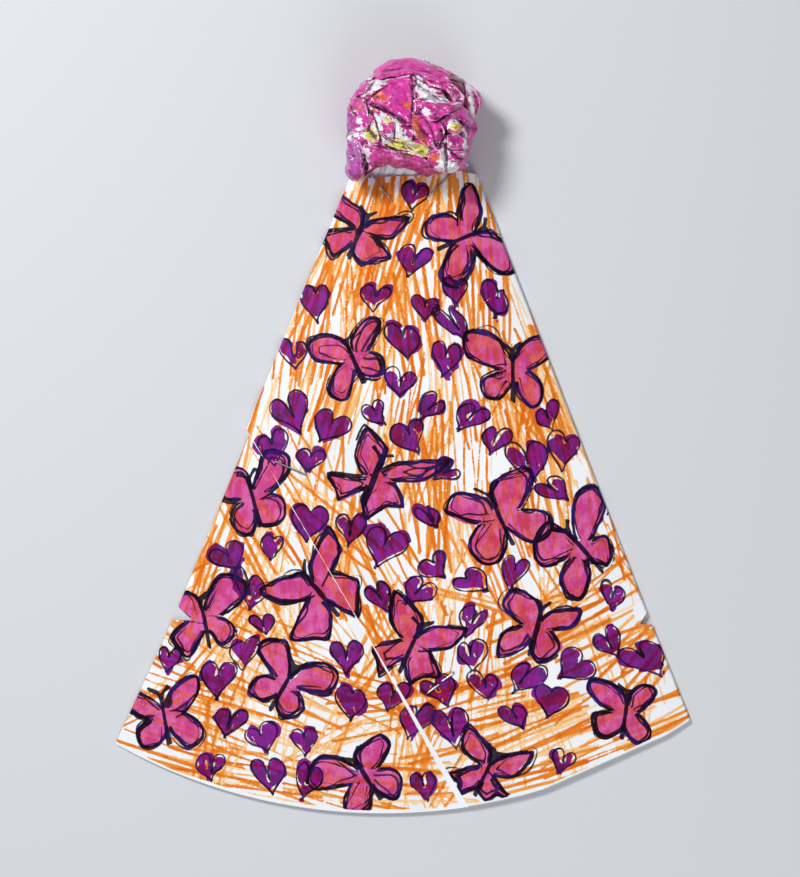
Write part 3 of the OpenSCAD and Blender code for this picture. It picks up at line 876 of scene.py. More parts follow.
def back_piece(raster, material, inset=0.3):
    rows = []
    for dl, dr, n in key_rows(BACK_CELL, KEYS):
        row = make_row((left_x(dl) + inset, -dl), (right_x(dr) - inset, -dr), BACK_CELL)
        rows.append(cut_row(row, n * NOTCH_L_IN, n * NOTCH_R_IN))
    down = to_hem(rows[-1], left_corner[0] + inset, HEM_RIGHT - inset)
    count = int(27 / BACK_CELL)
    for k in range(1, count + 1):
        line = down(k / count)
        p = line(np.linspace(0, 1, 5))
        rows.append(make_row((p[0, 0], 0), (p[-1, 0], 0), BACK_CELL, line=line))

    def height(x, y, u, row):
        return back_low(y) + HEM_TOUCH

    return paper_piece("dress_back", rows, height, raster, material, drawn_low=True, bare=hem_margin)


OVERLAP_DEG = 90 - (SEAM_DEG + LEFT_DEG) - LEFT_DEG
SEAM_REACH = 95.3


def overlap_piece(raster, material):
    """The free end of the sheet, which laps over the back from the left fold."""
    first, top = KEYS[0][:2]
    corner = SEAM_REACH * np.array([sin(OVERLAP_DEG), -cos(OVERLAP_DEG)])
    right_top = np.array([top * tan(OVERLAP_DEG), -top])
    count = int((SEAM_START - first) / BACK_CELL)
    rows = []
    for t in np.arange(count + 1) / count:
        dl = first + (SEAM_START - first) * t
        rows.append(make_row((outer_left(dl) + 0.3, -dl), right_top + (corner - right_top) * t, BACK_CELL))

    def height(x, y, u, row):
        return neck_lift(y) + HEM_TOUCH

    return paper_piece("dress_back_overlap_sheet", rows, height, raster, material, drawn_low=True)


# ---------------------------------------------------------------- materials


def rgb(r, g, b):
    def lin(v):
        v /= 255.0
        return v / 12.92 if v <= 0.04045 else ((v + 0.055) / 1.055) ** 2.4
    return (lin(r), lin(g), lin(b), 1.0)


class Value:
    """A shader value, which takes + - and * with others and with numbers."""

    def __init__(self, graph, socket):
        self.graph, self.socket = graph, socket

    def __add__(self, other):
        return self.graph.math("ADD", self, other)

    def __sub__(self, other):
        return self.graph.math("SUBTRACT", self, other)

    def __rsub__(self, other):
        return self.graph.math("SUBTRACT", other, self)

    def __mul__(self, other):
        return self.graph.math("MULTIPLY", self, other)

    def remap(self, a, b, c=0.0, d=1.0, kind="SMOOTHSTEP"):
        n = self.graph.nodes.new("ShaderNodeMapRange")
        n.interpolation_type = kind
        return self.graph.wired(n, {"Value": self, "From Min": a, "From Max": b, "To Min": c, "To Max": d})

    def linear(self, a, b, c, d):
        return self.remap(a, b, c, d, "LINEAR")


class Graph:
    """Short ways to add shader nodes to one material."""

    def __init__(self, name):
        self.mat = bpy.data.materials.new(name)
        self.mat.use_nodes = True
        self.nodes, self.links = self.mat.node_tree.nodes, self.mat.node_tree.links
        self.nodes.clear()
        self.shader = self.nodes.new("ShaderNodeBsdfPrincipled")
        self.links.new(self.shader.outputs[0], self.nodes.new("ShaderNodeOutputMaterial").inputs[0])
        self.coord = Value(self, self.nodes.new("ShaderNodeTexCoord").outputs["Object"])

    def put(self, socket, value):
        if isinstance(value, Value):
            self.links.new(value.socket, socket)
        else:
            socket.default_value = value

    def wired(self, node, inputs, output=0):
        """Fills the node's inputs, by name or number, and returns one of its outputs."""
        for key, value in inputs.items():
            self.put(node.inputs[key], value)
        return Value(self, node.outputs[output])

    def math(self, op, a, b=0.0, clamp=False):
        n = self.nodes.new("ShaderNodeMath")
        n.operation, n.use_clamp = op, clamp
        return self.wired(n, {0: a, 1: b})

    def mix(self, fac, a, b):
        n = self.nodes.new("ShaderNodeMix")
        n.data_type = "RGBA"
        return self.wired(n, {0: fac, 6: a, 7: b}, 2)

    def attr(self, name):
        n = self.nodes.new("ShaderNodeAttribute")
        n.attribute_type, n.attribute_name = "GEOMETRY", name
        return self.wired(n, {}, "Fac")

    def noise(self, scale, detail=2.0, rough=0.5, vector=None, output="Fac"):
        return self.wired(self.nodes.new("ShaderNodeTexNoise"), {
            "Vector": vector or self.coord, "Scale": scale, "Detail": detail, "Roughness": rough}, output)

    def combine(self, x, y, z):
        return self.wired(self.nodes.new("ShaderNodeCombineXYZ"), {0: x, 1: y, 2: z})

    def split(self, v):
        n = self.nodes.new("ShaderNodeSeparateXYZ")
        return [self.wired(n, {0: v}, k) for k in range(3)]

    def mapped(self, vector, rotation, scale=(1.0, 1.0, 1.0)):
        return self.wired(self.nodes.new("ShaderNodeMapping"), {
            "Vector": vector, "Rotation": rotation, "Scale": scale})

    def scaled(self, scale, rotate=0.0):
        return self.mapped(self.coord, (0, 0, math.radians(rotate)), scale)

    def ramp(self, fac, stops):
        n = self.nodes.new("ShaderNodeValToRGB")
        e = n.color_ramp.elements
        e[0].position, e[0].color = stops[0]
        e[1].position, e[1].color = stops[-1]
        for pos, col in stops[1:-1]:
            e.new(pos).color = col
        return self.wired(n, {0: fac})

    def bump(self, *layers):
        """Each layer is its height, strength and depth in metres."""
        normal = {}
        for height, strength, distance in layers:
            n = self.nodes.new("ShaderNodeBump")
            inputs = {"Strength": strength, "Distance": distance, "Height": height}
            normal = {"Normal": self.wired(n, {**inputs, **normal})}
        self.wired(self.shader, normal)

    def warped(self, scale, warp):
        m = self.nodes.new("ShaderNodeVectorMath")
        m.operation = "MULTIPLY_ADD"
        shift = self.noise(scale * 0.45, 1.0, output="Color")
        return self.wired(m, {0: shift, 1: (warp, warp, warp), 2: self.coord})

    def cracks(self, scale):
        """Distance to a net of crease lines, in cells 1/scale metres across."""
        v = self.nodes.new("ShaderNodeTexVoronoi")
        v.feature = "DISTANCE_TO_EDGE"
        return self.wired(v, {"Vector": self.warped(scale, 0.0016), "Scale": scale}, "Distance")

    def crinkle(self, scale, spin):
        """Flat facets between sharp creases, about 1/scale metres across."""
        v = self.nodes.new("ShaderNodeTexVoronoi")
        v.distance = "CHEBYCHEV"
        vector = self.mapped(self.warped(scale, 0.0012), spin)
        return self.wired(v, {"Vector": vector, "Scale": scale}, "Distance")

    def finish(self, color, rough, metallic=0.0, **more):
        self.wired(self.shader, {"Base Color": color, "Roughness": rough, "Metallic": metallic})
        self.wired(self.shader, {key.replace("_", " "): val for key, val in more.items()})
        return self.mat


PAPER_BUMP = (0.35, 0.00006)


def bare_paper(g):
    """White drawing paper: faint cloudiness and fibre. Returns its colour and its bump height."""
    fleck = g.noise(2600.0, 2.0, 0.7)
    white = g.mix(g.noise(60.0, 3.0, 0.6).remap(0.3, 0.7), rgb(238, 241, 246), rgb(248, 249, 252))
    white = g.mix(fleck.remap(0.62, 0.8, 0.0, 0.25), white, rgb(214, 214, 216))
    return white, g.noise(1500.0, 4.0, 0.65) + fleck * 0.4


def plain_paper(name):
    g = Graph(name)
    white, height = bare_paper(g)
    g.bump((height, *PAPER_BUMP))
    return g.finish(white, g.noise(400.0).remap(0.3, 0.7, 0.66, 0.82), Specular_IOR_Level=0.3)


def drawn_paper(name):
    """Paper under felt-tip: orange strokes that darken where they cross, pink and purple fills, black lines."""
    g = Graph(name)
    white, height = bare_paper(g)
    edge = (g.noise(2300.0, 3.0, 0.6) - 0.5) * 0.34 + (g.noise(420.0) - 0.5) * 0.36
    cov1 = (g.attr("o1") + edge).remap(-0.05, 0.08)
    cov2 = (g.attr("o2") + edge).remap(-0.06, 0.09)
    cov3 = (g.attr("o3") + edge).remap(-0.06, 0.1)
    x, y, _ = g.split(g.coord)
    tone = g.attr("ot")
    streak = g.noise(1.0, 2.0, 0.6, g.combine(g.attr("os") * 4.5, tone * 40.0 + y * 60.0, x * 60.0))
    depth = cov1 * tone.linear(0.0, 1.0, 0.5, 0.8) + (cov2 * 0.2 + cov3 * 0.18)
    depth = depth * streak.linear(0.3, 0.7, 0.76, 1.16) * g.noise(95.0).linear(0.3, 0.7, 0.86, 1.12)
    dry = tone.remap(0.0, -0.3) * streak.remap(0.35, 0.6, 0.8, 0.42)
    depth = g.math("MULTIPLY", depth, 1.0 - dry, clamp=True)
    orange = g.ramp(depth, [(0.0, rgb(255, 240, 220)), (0.2, rgb(252, 212, 158)), (0.42, rgb(244, 174, 96)),
                            (0.66, rgb(234, 134, 40)), (1.0, rgb(222, 102, 12))])
    color = g.mix(cov1 * depth.remap(0.02, 0.16), white, orange)
    over = (cov1 * depth).remap(0.15, 0.6)

    fibre = g.noise(1.0, 3.0, 0.65, g.scaled((900.0, 200.0, 900.0), 24.0))
    mottle = g.noise(260.0, 3.0, 0.6) * 0.65 + fibre * 0.35
    pink = g.mix(mottle.remap(0.4, 0.6), rgb(200, 54, 134), rgb(220, 98, 168))
    coral = g.mix(mottle.remap(0.4, 0.6), rgb(200, 62, 74), rgb(220, 98, 86))
    purple = g.mix(mottle.remap(0.38, 0.62), rgb(94, 0, 104), rgb(138, 0, 148))
    crimson = g.mix(mottle.remap(0.38, 0.62), rgb(104, 0, 52), rgb(142, 10, 72))
    wet = cov1 * 0.6
    for key, fill, crossed, share, rim, rim_share, rim_width, thin in (
            ("pf", pink, coral, 0.9, rgb(190, 50, 120), 0.25, 0.3, (0.22, 0.34)),
            ("hf", purple, crimson, g.attr("mt").remap(0.0, 1.0, 0.6, 1.0), rgb(96, 0, 84), 0.3, 0.35, (0.24, 0.33))):
        depth = g.attr(key) + edge * 1.1
        fill = g.mix(over * share, fill, crossed)
        fill = g.mix(depth.remap(rim_width, 0.02) * rim_share, fill, rim)
        inside = depth.remap(-0.05, 0.09)
        color = g.mix(inside * fibre.remap(*thin, 0.8, 0.98), color, fill)
        wet = g.math("MAXIMUM", wet, inside)

    line = g.mix(g.noise(180.0).remap(0.44, 0.6), rgb(20, 4, 24), rgb(40, 20, 88))
    # each pass of the pen: its field, how far it strays, size of its waves, thin and thick half width, how opaque
    passes = [("hl", 0.0, 240.0, 0.15, 0.32, 0.95), ("hl", 0.9, 130.0, -0.2, 0.26, 0.92)]
    for key in LINES[1:]:
        passes += [(key, 0.0, 300.0, 0.22, 0.39, 0.97), (key, 1.5, 190.0, 0.18, 0.37, 0.96),
                   (key, 2.8, 140.0, 0.12, 0.34, 0.95), (key, 4.0, 105.0, 0.04, 0.33, 0.94),
                   (key, 5.2, 88.0, 0.0, 0.32, 0.93)]
    for key, stray, scale, low, high, opaque in passes:
        at = g.attr(key)
        if stray:
            drift = g.noise(scale, 1.0, 0.5, g.scaled((1.0, 1.0, 1.0), 31.0 * stray))
            at = at + (drift - 0.42) * (stray * 1.6)
        pen = g.noise(scale * 1.3).linear(0.34, 0.62, low, high) - g.math("ABSOLUTE", at)
        color = g.mix(pen.remap(-0.06, 0.06, 0.0, opaque), color, line)
    ink = (g.attr("kk") + edge * 0.5).remap(-0.05, 0.08)
    black = g.mix(mottle.remap(0.42, 0.62), rgb(10, 2, 18), rgb(30, 14, 62))
    color = g.mix(ink * fibre.remap(0.26, 0.36, 0.86, 0.97), color, black)
    g.bump((height, *PAPER_BUMP))
    return g.finish(color, 0.74 - wet * 0.22 - ink * 0.14, Specular_IOR_Level=0.08)


def steel(name):
    g = Graph(name)
    scratch = g.noise(1.0, 3.0, 0.6, g.scaled((9000.0, 9000.0, 900.0)))
    color = g.mix(scratch.remap(0.35, 0.65), rgb(150, 152, 158), rgb(196, 198, 204))
    color = g.mix(g.noise(700.0).remap(0.6, 0.75, 0.0, 0.4), color, rgb(104, 102, 104))
    g.bump((scratch, 0.2, 0.00002))
    return g.finish(color, scratch.remap(0.3, 0.7, 0.22, 0.4), 1.0)


DRAWN = drawn_paper("felt_tip_on_paper")
PLAIN = plain_paper("bare_paper")
STEEL = steel("bright_steel_wire")

FRONT_SEED, BACK_SEED = 20, 41
front_art = draw_side(FRONT_SEED)
back_art = draw_side(BACK_SEED, back=True)

for piece, node, slot in ((front_piece(front_art, DRAWN), "dress_front_panel", "coloured_dress_paper"),
                          (inner_piece(front_art, DRAWN), "dress_inner_panel", "coloured_dress_paper"),
                          (back_piece(back_art, DRAWN), "dress_back_panel", "coloured_dress_paper"),
                          (overlap_piece(back_art, DRAWN), "dress_back_overlap", "coloured_dress_paper")):
    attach(piece, "dress")
    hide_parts(node)


def keep_cad(node, material):
    """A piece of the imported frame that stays, in a new material."""
    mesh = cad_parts[node].data
    mesh.materials.clear()
    mesh.materials.append(material)


keep_cad("dress_inner_tuck", PLAIN)


# ---------------------------------------------------------------- staples
WIRE = 0.25
STAPLE_HALF, LEG_END = 4.55, 0.62


def tube(name, path, radius, material, sides=14):
    """A round wire along a path, with flat ends."""
    p = np.asarray(path, float)
    t = np.gradient(p, axis=0)
    t /= np.linalg.norm(t, axis=1)[:, None]
    side = np.cross(t[0], [0.3, 0.2, 1.0])
    side /= np.linalg.norm(side)
    rings = []
    for k in range(len(p)):
        side = side - (side @ t[k]) * t[k]
        side /= np.linalg.norm(side)
        up = np.cross(t[k], side)
        a = np.linspace(0, 2 * math.pi, sides, endpoint=False)[:, None]
        rings.append(p[k] + radius * (np.cos(a) * side + np.sin(a) * up))
    co = np.vstack(rings + [p[:1], p[-1:]])
    n, tri = len(p), []
    for k in range(n - 1):
        for j in range(sides):
            a, b = k * sides + j, k * sides + (j + 1) % sides
            tri += [(a, b, b + sides), (a, b + sides, a + sides)]
    for j in range(sides):
        tri.append((n * sides, (j + 1) % sides, j))
        tri.append((n * sides + 1, (n - 1) * sides + j, (n - 1) * sides + (j + 1) % sides))
    return new_mesh(name, to_row(co), tri, None, None, material)


def rounded(points, radius, n=5):
    """A path whose corners are turned on a radius."""
    p = np.asarray(points, float)
    out = [p[0]]
    for a, b, c in zip(p[:-2], p[1:-1], p[2:]):
        u, v = (a - b) / np.linalg.norm(a - b), (c - b) / np.linalg.norm(c - b)
        r = min(radius, np.linalg.norm(a - b) * 0.45, np.linalg.norm(c - b) * 0.45)
        for t in np.linspace(0, 1, n):
            out.append((b + u * r) * (1 - t) ** 2 + b * 2 * t * (1 - t) + (b + v * r) * t * t)
    out.append(p[-1])
    dense = []
    for a, b in zip(out[:-1], out[1:]):
        m = max(1, int(np.linalg.norm(np.array(b) - a) / 0.5))
        dense += [a + (np.array(b) - a) * k / m for k in range(m)]
    return np.array(dense + [out[-1]])


def staple(name, node, at, deg, crown, folded):
    """crown: heights of the wire's middle at its two corners. folded: height of the folded legs' middle."""
    e = np.array([cos(deg), sin(deg), 0.0])
    f = np.array([-e[1], e[0], 0.0])
    c = np.array([at[0], at[1], 0.0])
    sign = 1.0 if crown[0] > folded else -1.0
    legs = []
    for side, z in ((-1, crown[0]), (1, crown[1])):
        corner = c + e * side * STAPLE_HALF
        legs.append([c + e * side * LEG_END + f * 0.12 * side + [0, 0, folded + 0.12 * sign],
                     c + e * side * 2.4 + [0, 0, folded - 0.02 * sign],
                     corner + [0, 0, folded], corner + [0, 0, z]])
    ob = tube(name, rounded(legs[0] + legs[1][::-1], 0.42), WIRE, STEEL)
    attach(ob, "dress")
    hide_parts(node)


staple("staple_neck_left", "neck_staple_left", (-9.3, -45.8), -53.5, (4.62, 5.98), 0.3)
staple("staple_neck_right", "neck_staple_right", (6.9, -44.9), 45.0, (6.12, 5.46), 0.3)
staple("staple_seam_upper", "seam_staple_upper", (-33.6, -121.3), -23.2, (2.9, 3.62), 1.3)
staple("staple_seam_lower", "seam_staple_lower", (6.7, -179.0), 38.3, (1.62, 1.62), 3.22)


# ---------------------------------------------------------------- the crumpled head
# Outlines named on the photograph, in its pixels. GROOVES: line, depth and width of a crease, in mm.
HEAD = np.array([0.0, -27.3, 11.0])
HEAD_HALF = 11.0
HEAD_RIM = [(392.5, 60.6), (410, 60), (425, 61), (438.8, 67.5), (450, 73.8), (460, 77.5), (466, 84), (471, 92),
            (473, 100), (472, 108), (470, 115), (473.8, 122.5), (475, 130), (475, 135), (471, 142.5), (468.8, 152.5),
            (467.5, 160), (468, 166), (462, 168.5), (455, 171), (446, 173), (436, 174.5), (428, 175), (418, 172),
            (405, 167), (388, 164.5), (378, 167), (371, 172), (365, 176), (360, 180), (353.8, 180.6), (348.8, 176),
            (346.9, 168.8), (347.5, 160), (346.9, 147.5), (346.9, 135), (348.8, 122.5), (348, 110), (351, 101),
            (355, 92.5), (362.5, 83.8), (371, 76), (376.9, 72.5), (380, 67.5), (386, 63)]
FACET = [(383, 88), (392, 76), (411, 75), (416, 100), (412, 120), (405, 122), (372, 103), (380, 95)]
EAR = [(416, 108), (422, 100), (434, 103), (452, 104), (462, 105), (470, 112), (474, 122), (466, 124), (455, 120),
       (448, 116), (440, 127), (441, 135), (436, 150), (424, 143), (418, 135), (413, 125), (413, 115)]
POCKET = [(363, 130), (372, 138), (384, 147), (400, 150), (425, 155), (430, 160), (426, 150), (412, 143), (395, 140),
          (380, 136), (370, 128)]
ROLL = [(365, 143), (375, 146), (390, 152), (410, 154), (425, 157), (430, 168), (428, 175), (418, 172), (405, 166),
        (385, 162), (375, 168), (368, 172), (362, 160), (362, 146)]
LOBE = [(347, 140), (358, 139), (363, 150), (364, 165), (360, 180), (352, 181), (347, 174)]
HOOD_OUT = [(373, 80), (375, 74), (379, 68), (386, 62.6), (393, 60), (402, 59), (412, 59), (425, 60.5), (438, 66.5),
            (450, 73), (460, 77), (468, 82), (476, 90), (481, 97.5), (481.5, 103), (480, 108), (474, 115)]
HOOD_IN = [(376, 82), (381, 79), (387, 77.5), (393, 77), (400, 76), (408, 74.5), (416, 74), (426, 77.5), (436, 80.5),
           (445, 82), (451, 86), (457, 92), (461, 98), (464, 104), (466, 108), (468, 111), (470, 114.5)]
DUSK = [(345, 112), (353, 112), (355, 128), (350, 137), (360, 140), (364, 152), (364, 184), (343, 184)]
RECESS = [(412, 76), (430, 82), (445, 88), (452, 100), (440, 100), (425, 92), (415, 84)]
SPOTS = [
    [(381, 121), (391, 118), (394, 131), (385, 133)],
    [(404, 127), (410, 128), (410, 134), (403, 133)],
    [(425, 82), (436, 86), (446, 96), (440, 96), (430, 90)],
    [(367, 84), (371, 82), (370, 90), (366, 91)],
    [(352, 114), (356, 112), (359, 127), (354, 125)],
    [(449, 95), (456, 97), (456, 103), (450, 101)],
    [(446, 163), (452, 160), (454, 168), (447, 170)],
    [(374, 106), (380, 110), (379, 115), (374, 112)]]
CORNER = [(441, 138), (455, 136), (470, 140), (468, 166), (455, 172), (444, 172), (443, 155)]
GROOVES = [([(441, 130), (443, 138), (442, 147)], 0.9, 0.5), ([(446, 145), (447, 158), (446, 172)], 1.0, 0.5),
           ([(394, 117), (395, 125), (394, 140)], 0.7, 0.45), ([(372, 112), (376, 122), (381, 140)], 0.6, 0.4),
           ([(366, 100), (369, 112), (369, 130)], 0.6, 0.4), ([(371, 104), (388, 112), (405, 122)], 1.3, 0.55),
           ([(411, 77), (413, 95), (412, 118)], 0.5, 0.5), ([(443, 92), (447, 96), (450, 101)], 1.6, 0.7),
           ([(461, 122), (466, 127), (472, 128)], 1.4, 0.9), ([(363, 150), (364, 165), (366, 176)], 0.8, 0.5),
           ([(350, 105), (356, 118), (362, 130)], 0.4, 0.4), ([(357, 97), (366, 92), (376, 80)], 0.4, 0.45),
           ([(424, 118), (430, 126), (437, 148)], 0.4, 0.4), ([(436, 119), (446, 116), (460, 108)], 0.5, 0.4),
           ([(386, 146), (398, 152), (412, 156)], 0.5, 0.45), ([(450, 150), (458, 158), (466, 160)], 0.6, 0.5)]


class Crumple:
    """Straight-edged folds: triangle waves in many directions, each fading in and out."""

    def __init__(self, seed, length, count=7):
        rng = np.random.default_rng(seed)
        d = rng.normal(size=(count, 3))
        d /= np.linalg.norm(d, axis=1)[:, None]
        self.waves = d / (length * rng.uniform(0.7, 1.5, (count, 1)))
        self.length, self.shift = length, rng.uniform(20, 400, count)

    def __call__(self, p):
        out = 0.0
        for d, k in zip(self.waves, self.shift):
            wave = zigzag(p @ d + 0.22 * noise(p + k, self.length * 0.9))
            out = out + wave * smooth(noise(p + k * 1.7, self.length * 1.2), -0.35, 0.25)
        return out / math.sqrt(len(self.waves))


FOLDS = [(Crumple(3, 15.0), 1.2), (Crumple(5, 7.5), 1.35), (Crumple(8, 4.2), 0.85), (Crumple(9, 2.2), 0.34)]


def seen(p):
    """Row points moved so that the camera sees them where they were drawn."""
    p = p.copy()
    p[:, :2] = CAMERA[:2] + (p[:, :2] - CAMERA[:2]) * (1 - p[:, 2:] / CAMERA[2])
    return p


def pressed(x, y, share):
    """How far the named creases go down at each point, and how near the closest one is."""
    down, near = np.zeros(x.shape), np.full(x.shape, 9.0)
    for line, depth, width in GROOVES:
        d, _ = line_distance(x, y, from_px(line))
        down += share * depth * np.exp(-(d / width) ** 2)
        near = np.minimum(near, d / min(1.0, 0.6 + 0.4 * depth))
    return down, near


def rim_radius(phi, share):
    """How far out the head reaches at the angle phi: the drawn rim at its edge, a rounder one further in."""
    def around(angle, angles, radii):
        return np.interp(angle, angles, radii, period=2 * math.pi)

    d = from_px(HEAD_RIM) - HEAD[:2]
    d = d[np.argsort(np.arctan2(d[:, 1], d[:, 0]))]
    a, r = np.arctan2(d[:, 1], d[:, 0]), np.hypot(d[:, 0], d[:, 1])
    edge = around(phi, a, r)
    grid = np.linspace(-math.pi, math.pi, 361)[:-1]
    wave = np.fft.rfft(around(grid, a, r))
    wave[5:] = 0
    calm = around(phi, grid, np.fft.irfft(wave, 360))
    return calm + (edge - calm) * share ** 7


FAR = 2.5


def places(x, y, px_outline):
    """Signed distance in mm to an outline named on the photograph, for the points near it, else -FAR."""
    p = from_px(px_outline)
    out = np.full(x.shape, -FAR)
    near = in_box(x, y, p, FAR)
    if near.any():
        out[near] = np.maximum(area_distance(x[near], y[near], p), -FAR)
    return out


NOD_AT, NOD_DEG = (-40.2, 2.3), 20.0
NECK_STAPLES = [((-12.01, -42.14, 4.87), (-6.59, -49.46, 6.23)), ((3.68, -48.12, 6.37), (10.12, -41.68, 5.71))]
MOUTH_AIR, TOP_AIR, CHAMFER = 0.35, 0.3, 0.6


def room_to_nod(p):
    """Row points moved up and away from the dress's mouth and its staples, by what the nod's upper limit needs."""
    p = p.copy()
    c, s = cos(NOD_DEG), sin(NOD_DEG)
    left, right = outer_left(NECK_DROP), right_x(NECK_DROP)
    for _ in range(3):
        x, y, z = p[:, 0] / MM + MIDDLE[0], p[:, 1] / MM + MIDDLE[1] - NOD_AT[0], p[:, 2] / MM - NOD_AT[1]
        y, z = NOD_AT[0] + y * c - z * s, NOD_AT[1] + y * s + z * c
        share = np.clip((x - left) / (right - left), 0, 1)
        mouth = -NECK_DROP + NECK_SLANT * (share - 0.5) + arch(x) + MOUTH_AIR
        over = np.abs(share - 0.5) < 0.499
        top = inner_z(x, np.minimum(y, -NECK_DROP)) + LAYER + PAPER + relief(x, y, share) + TOP_AIR
        up = np.where(over, top - 1.2 * np.clip(y - mouth, 0, CHAMFER) - z, 0)
        away = mouth + np.clip((top - z) / 1.2, 0, CHAMFER) - y
        for a, b in np.array(NECK_STAPLES):
            e = b - a
            t = np.clip(((x - a[0]) * e[0] + (y - a[1]) * e[1]) / (e[0] ** 2 + e[1] ** 2), 0, 1)
            near = np.hypot(x - a[0] - t * e[0], y - a[1] - t * e[1]) < 0.7
            up = np.where(near, np.maximum(up, a[2] + t * e[2] + 0.2 - z), up)
            away = np.where(near, np.maximum(away, max(a[1], b[1]) + 0.75 - y), away)
        step = np.where((up > 0) & (away > 0), np.minimum(up, away), 0) * MM
        p[:, 1] += step * (c + s)
        p[:, 2] += step * (c - s)
    return p


def edges_of(tri):
    return np.concatenate([tri[:, [0, 1]], tri[:, [1, 2]], tri[:, [2, 0]]])


def point_normals(co, tri):
    fn = np.cross(co[tri[:, 1]] - co[tri[:, 0]], co[tri[:, 2]] - co[tri[:, 0]])
    vn = np.zeros(co.shape)
    for k in range(3):
        for j in range(3):
            vn[:, k] += np.bincount(tri[:, j], weights=fn[:, k], minlength=len(co))
    return vn / (np.linalg.norm(vn, axis=1)[:, None] + 1e-12)


def ridges(co, tri):
    """How far each point stands above the middle of its neighbours, in mm."""
    a, b = edges_of(tri).T
    total = np.stack([np.bincount(a, weights=co[b, k], minlength=len(co)) for k in range(3)], -1)
    count = np.maximum(np.bincount(a, minlength=len(co)), 1)
    return ((co - total / count[:, None]) * point_normals(co, tri)).sum(1)


# the colours' places on the photograph
WHITES = [
    [(366, 88), (371, 80), (378, 75), (395, 75), (389, 83), (379, 89), (370, 94)],
    [(360, 97), (366, 88), (370, 92), (364, 101)],
    [(412, 76), (420, 77), (434, 84), (447, 93), (462, 103), (452, 105), (434, 103), (424, 101), (416, 96)],
    [(352, 110), (357, 106), (362, 118), (363, 130), (357, 131), (353, 122)],
    [(347, 134), (358, 130), (366, 135), (360, 139), (348, 139)],
    [(371, 113), (380, 110), (396, 117), (404, 126), (411, 131), (412, 140), (400, 141), (384, 136), (373, 126)],
    [(446, 117), (456, 114), (463, 121), (463, 131), (455, 135), (447, 129)],
    [(447, 147), (458, 145), (462, 150), (452, 153)],
    [(432, 164), (452, 158), (458, 164), (448, 171), (434, 172)],
    [(364, 145), (372, 148), (372, 160), (367, 170), (363, 160)],
    [(372, 140), (386, 146), (402, 149), (415, 152), (413, 157), (396, 154), (380, 150), (370, 146)],
    [(418, 86), (427, 90), (424, 97), (417, 96)],
    [(421, 103), (429, 104), (433, 114), (427, 119), (421, 112)],
    [(453, 126), (459, 124), (455, 137), (450, 150), (446, 150), (450, 138)],
    [(462, 127), (468, 130), (469, 146), (464, 158), (460, 156), (463, 142)]]
YELLOWS = [
    [(366, 131), (374, 127), (381, 135), (380, 142), (372, 143), (366, 138)],
    [(384, 140), (400, 138), (412, 140), (425, 147), (430, 156), (420, 158), (402, 150), (388, 148)],
    [(381, 117), (389, 116), (392, 123), (386, 126)],
    [(448, 125), (460, 124), (462, 131), (452, 132)]]
ORANGES = [
    [(412, 116), (419, 117), (421, 126), (424, 134), (431, 146), (426, 148), (416, 136), (412, 127)],
    [(374, 92), (384, 91), (392, 101), (380, 102), (372, 99)],
    [(450, 129), (462, 127), (461, 133), (452, 134)],
    [(427, 153), (438, 152), (442, 158), (436, 163), (429, 160)],
    [(371, 102), (377, 106), (376, 115), (371, 112)]]
PINKS = [FACET, EAR, ROLL, LOBE, [(428, 77), (442, 79), (455, 85), (460, 93), (456, 97), (444, 88), (432, 83)],
         [(371, 103), (380, 106), (378, 118), (372, 116)], [(386, 122), (391, 120), (392, 132), (386, 131)],
         [(443, 134), (455, 136), (463, 140), (460, 147), (446, 146)], [(454, 156), (468, 152), (467, 164), (457, 168)],
         [(349, 98), (360, 102), (370, 112), (366, 126), (356, 108), (349, 110)], [(347, 118), (352, 118),
          (354, 130), (347, 132)],
         [(464, 104), (474, 118), (477, 136), (470, 146), (463, 140), (466, 128), (464, 118)],
         [(446, 136), (462, 134), (468, 142), (462, 148), (448, 146)], [(455, 150), (470, 148), (470, 160), (456, 160)],
         [(348, 100), (356, 92), (364, 96), (356, 106), (348, 112)]]


def colour_fields(x, y, low):
    """Distances to the named places of each colour. They fade out on the sides, where low goes up to 1."""
    out = {}
    for key, shapes in (("cw", WHITES), ("cy", YELLOWS), ("co", ORANGES), ("cp", PINKS), ("cu", [DUSK])):
        v = np.max([places(x, y, s) for s in shapes], 0)
        out[key] = v * (1 - low) + 0.9 * low if key == "cp" else v - (1.0 if key == "cu" else 4.0) * low
    for s in SPOTS:
        out["cw"] = np.minimum(out["cw"], 0.1 - 1.6 * places(x, y, s))
    # ck: how near the named creases are, for the painted shade along them
    out["ck"] = 0.4 - pressed(x, y, 1.0)[1] - 3 * low
    return out


def sphere(level):
    """Points and triangles of a subdivided icosahedron."""
    bm = bmesh.new()
    bmesh.ops.create_icosphere(bm, subdivisions=level, radius=1.0)
    co = np.array([v.co[:] for v in bm.verts])
    tri = np.array([[v.index for v in f.verts] for f in bm.faces])
    bm.free()
    return co / np.linalg.norm(co, axis=1)[:, None], tri


RIM_POWER = 2.7
FLAT_ON_TABLE = 0.06
UNDER_HOOD = 12.3


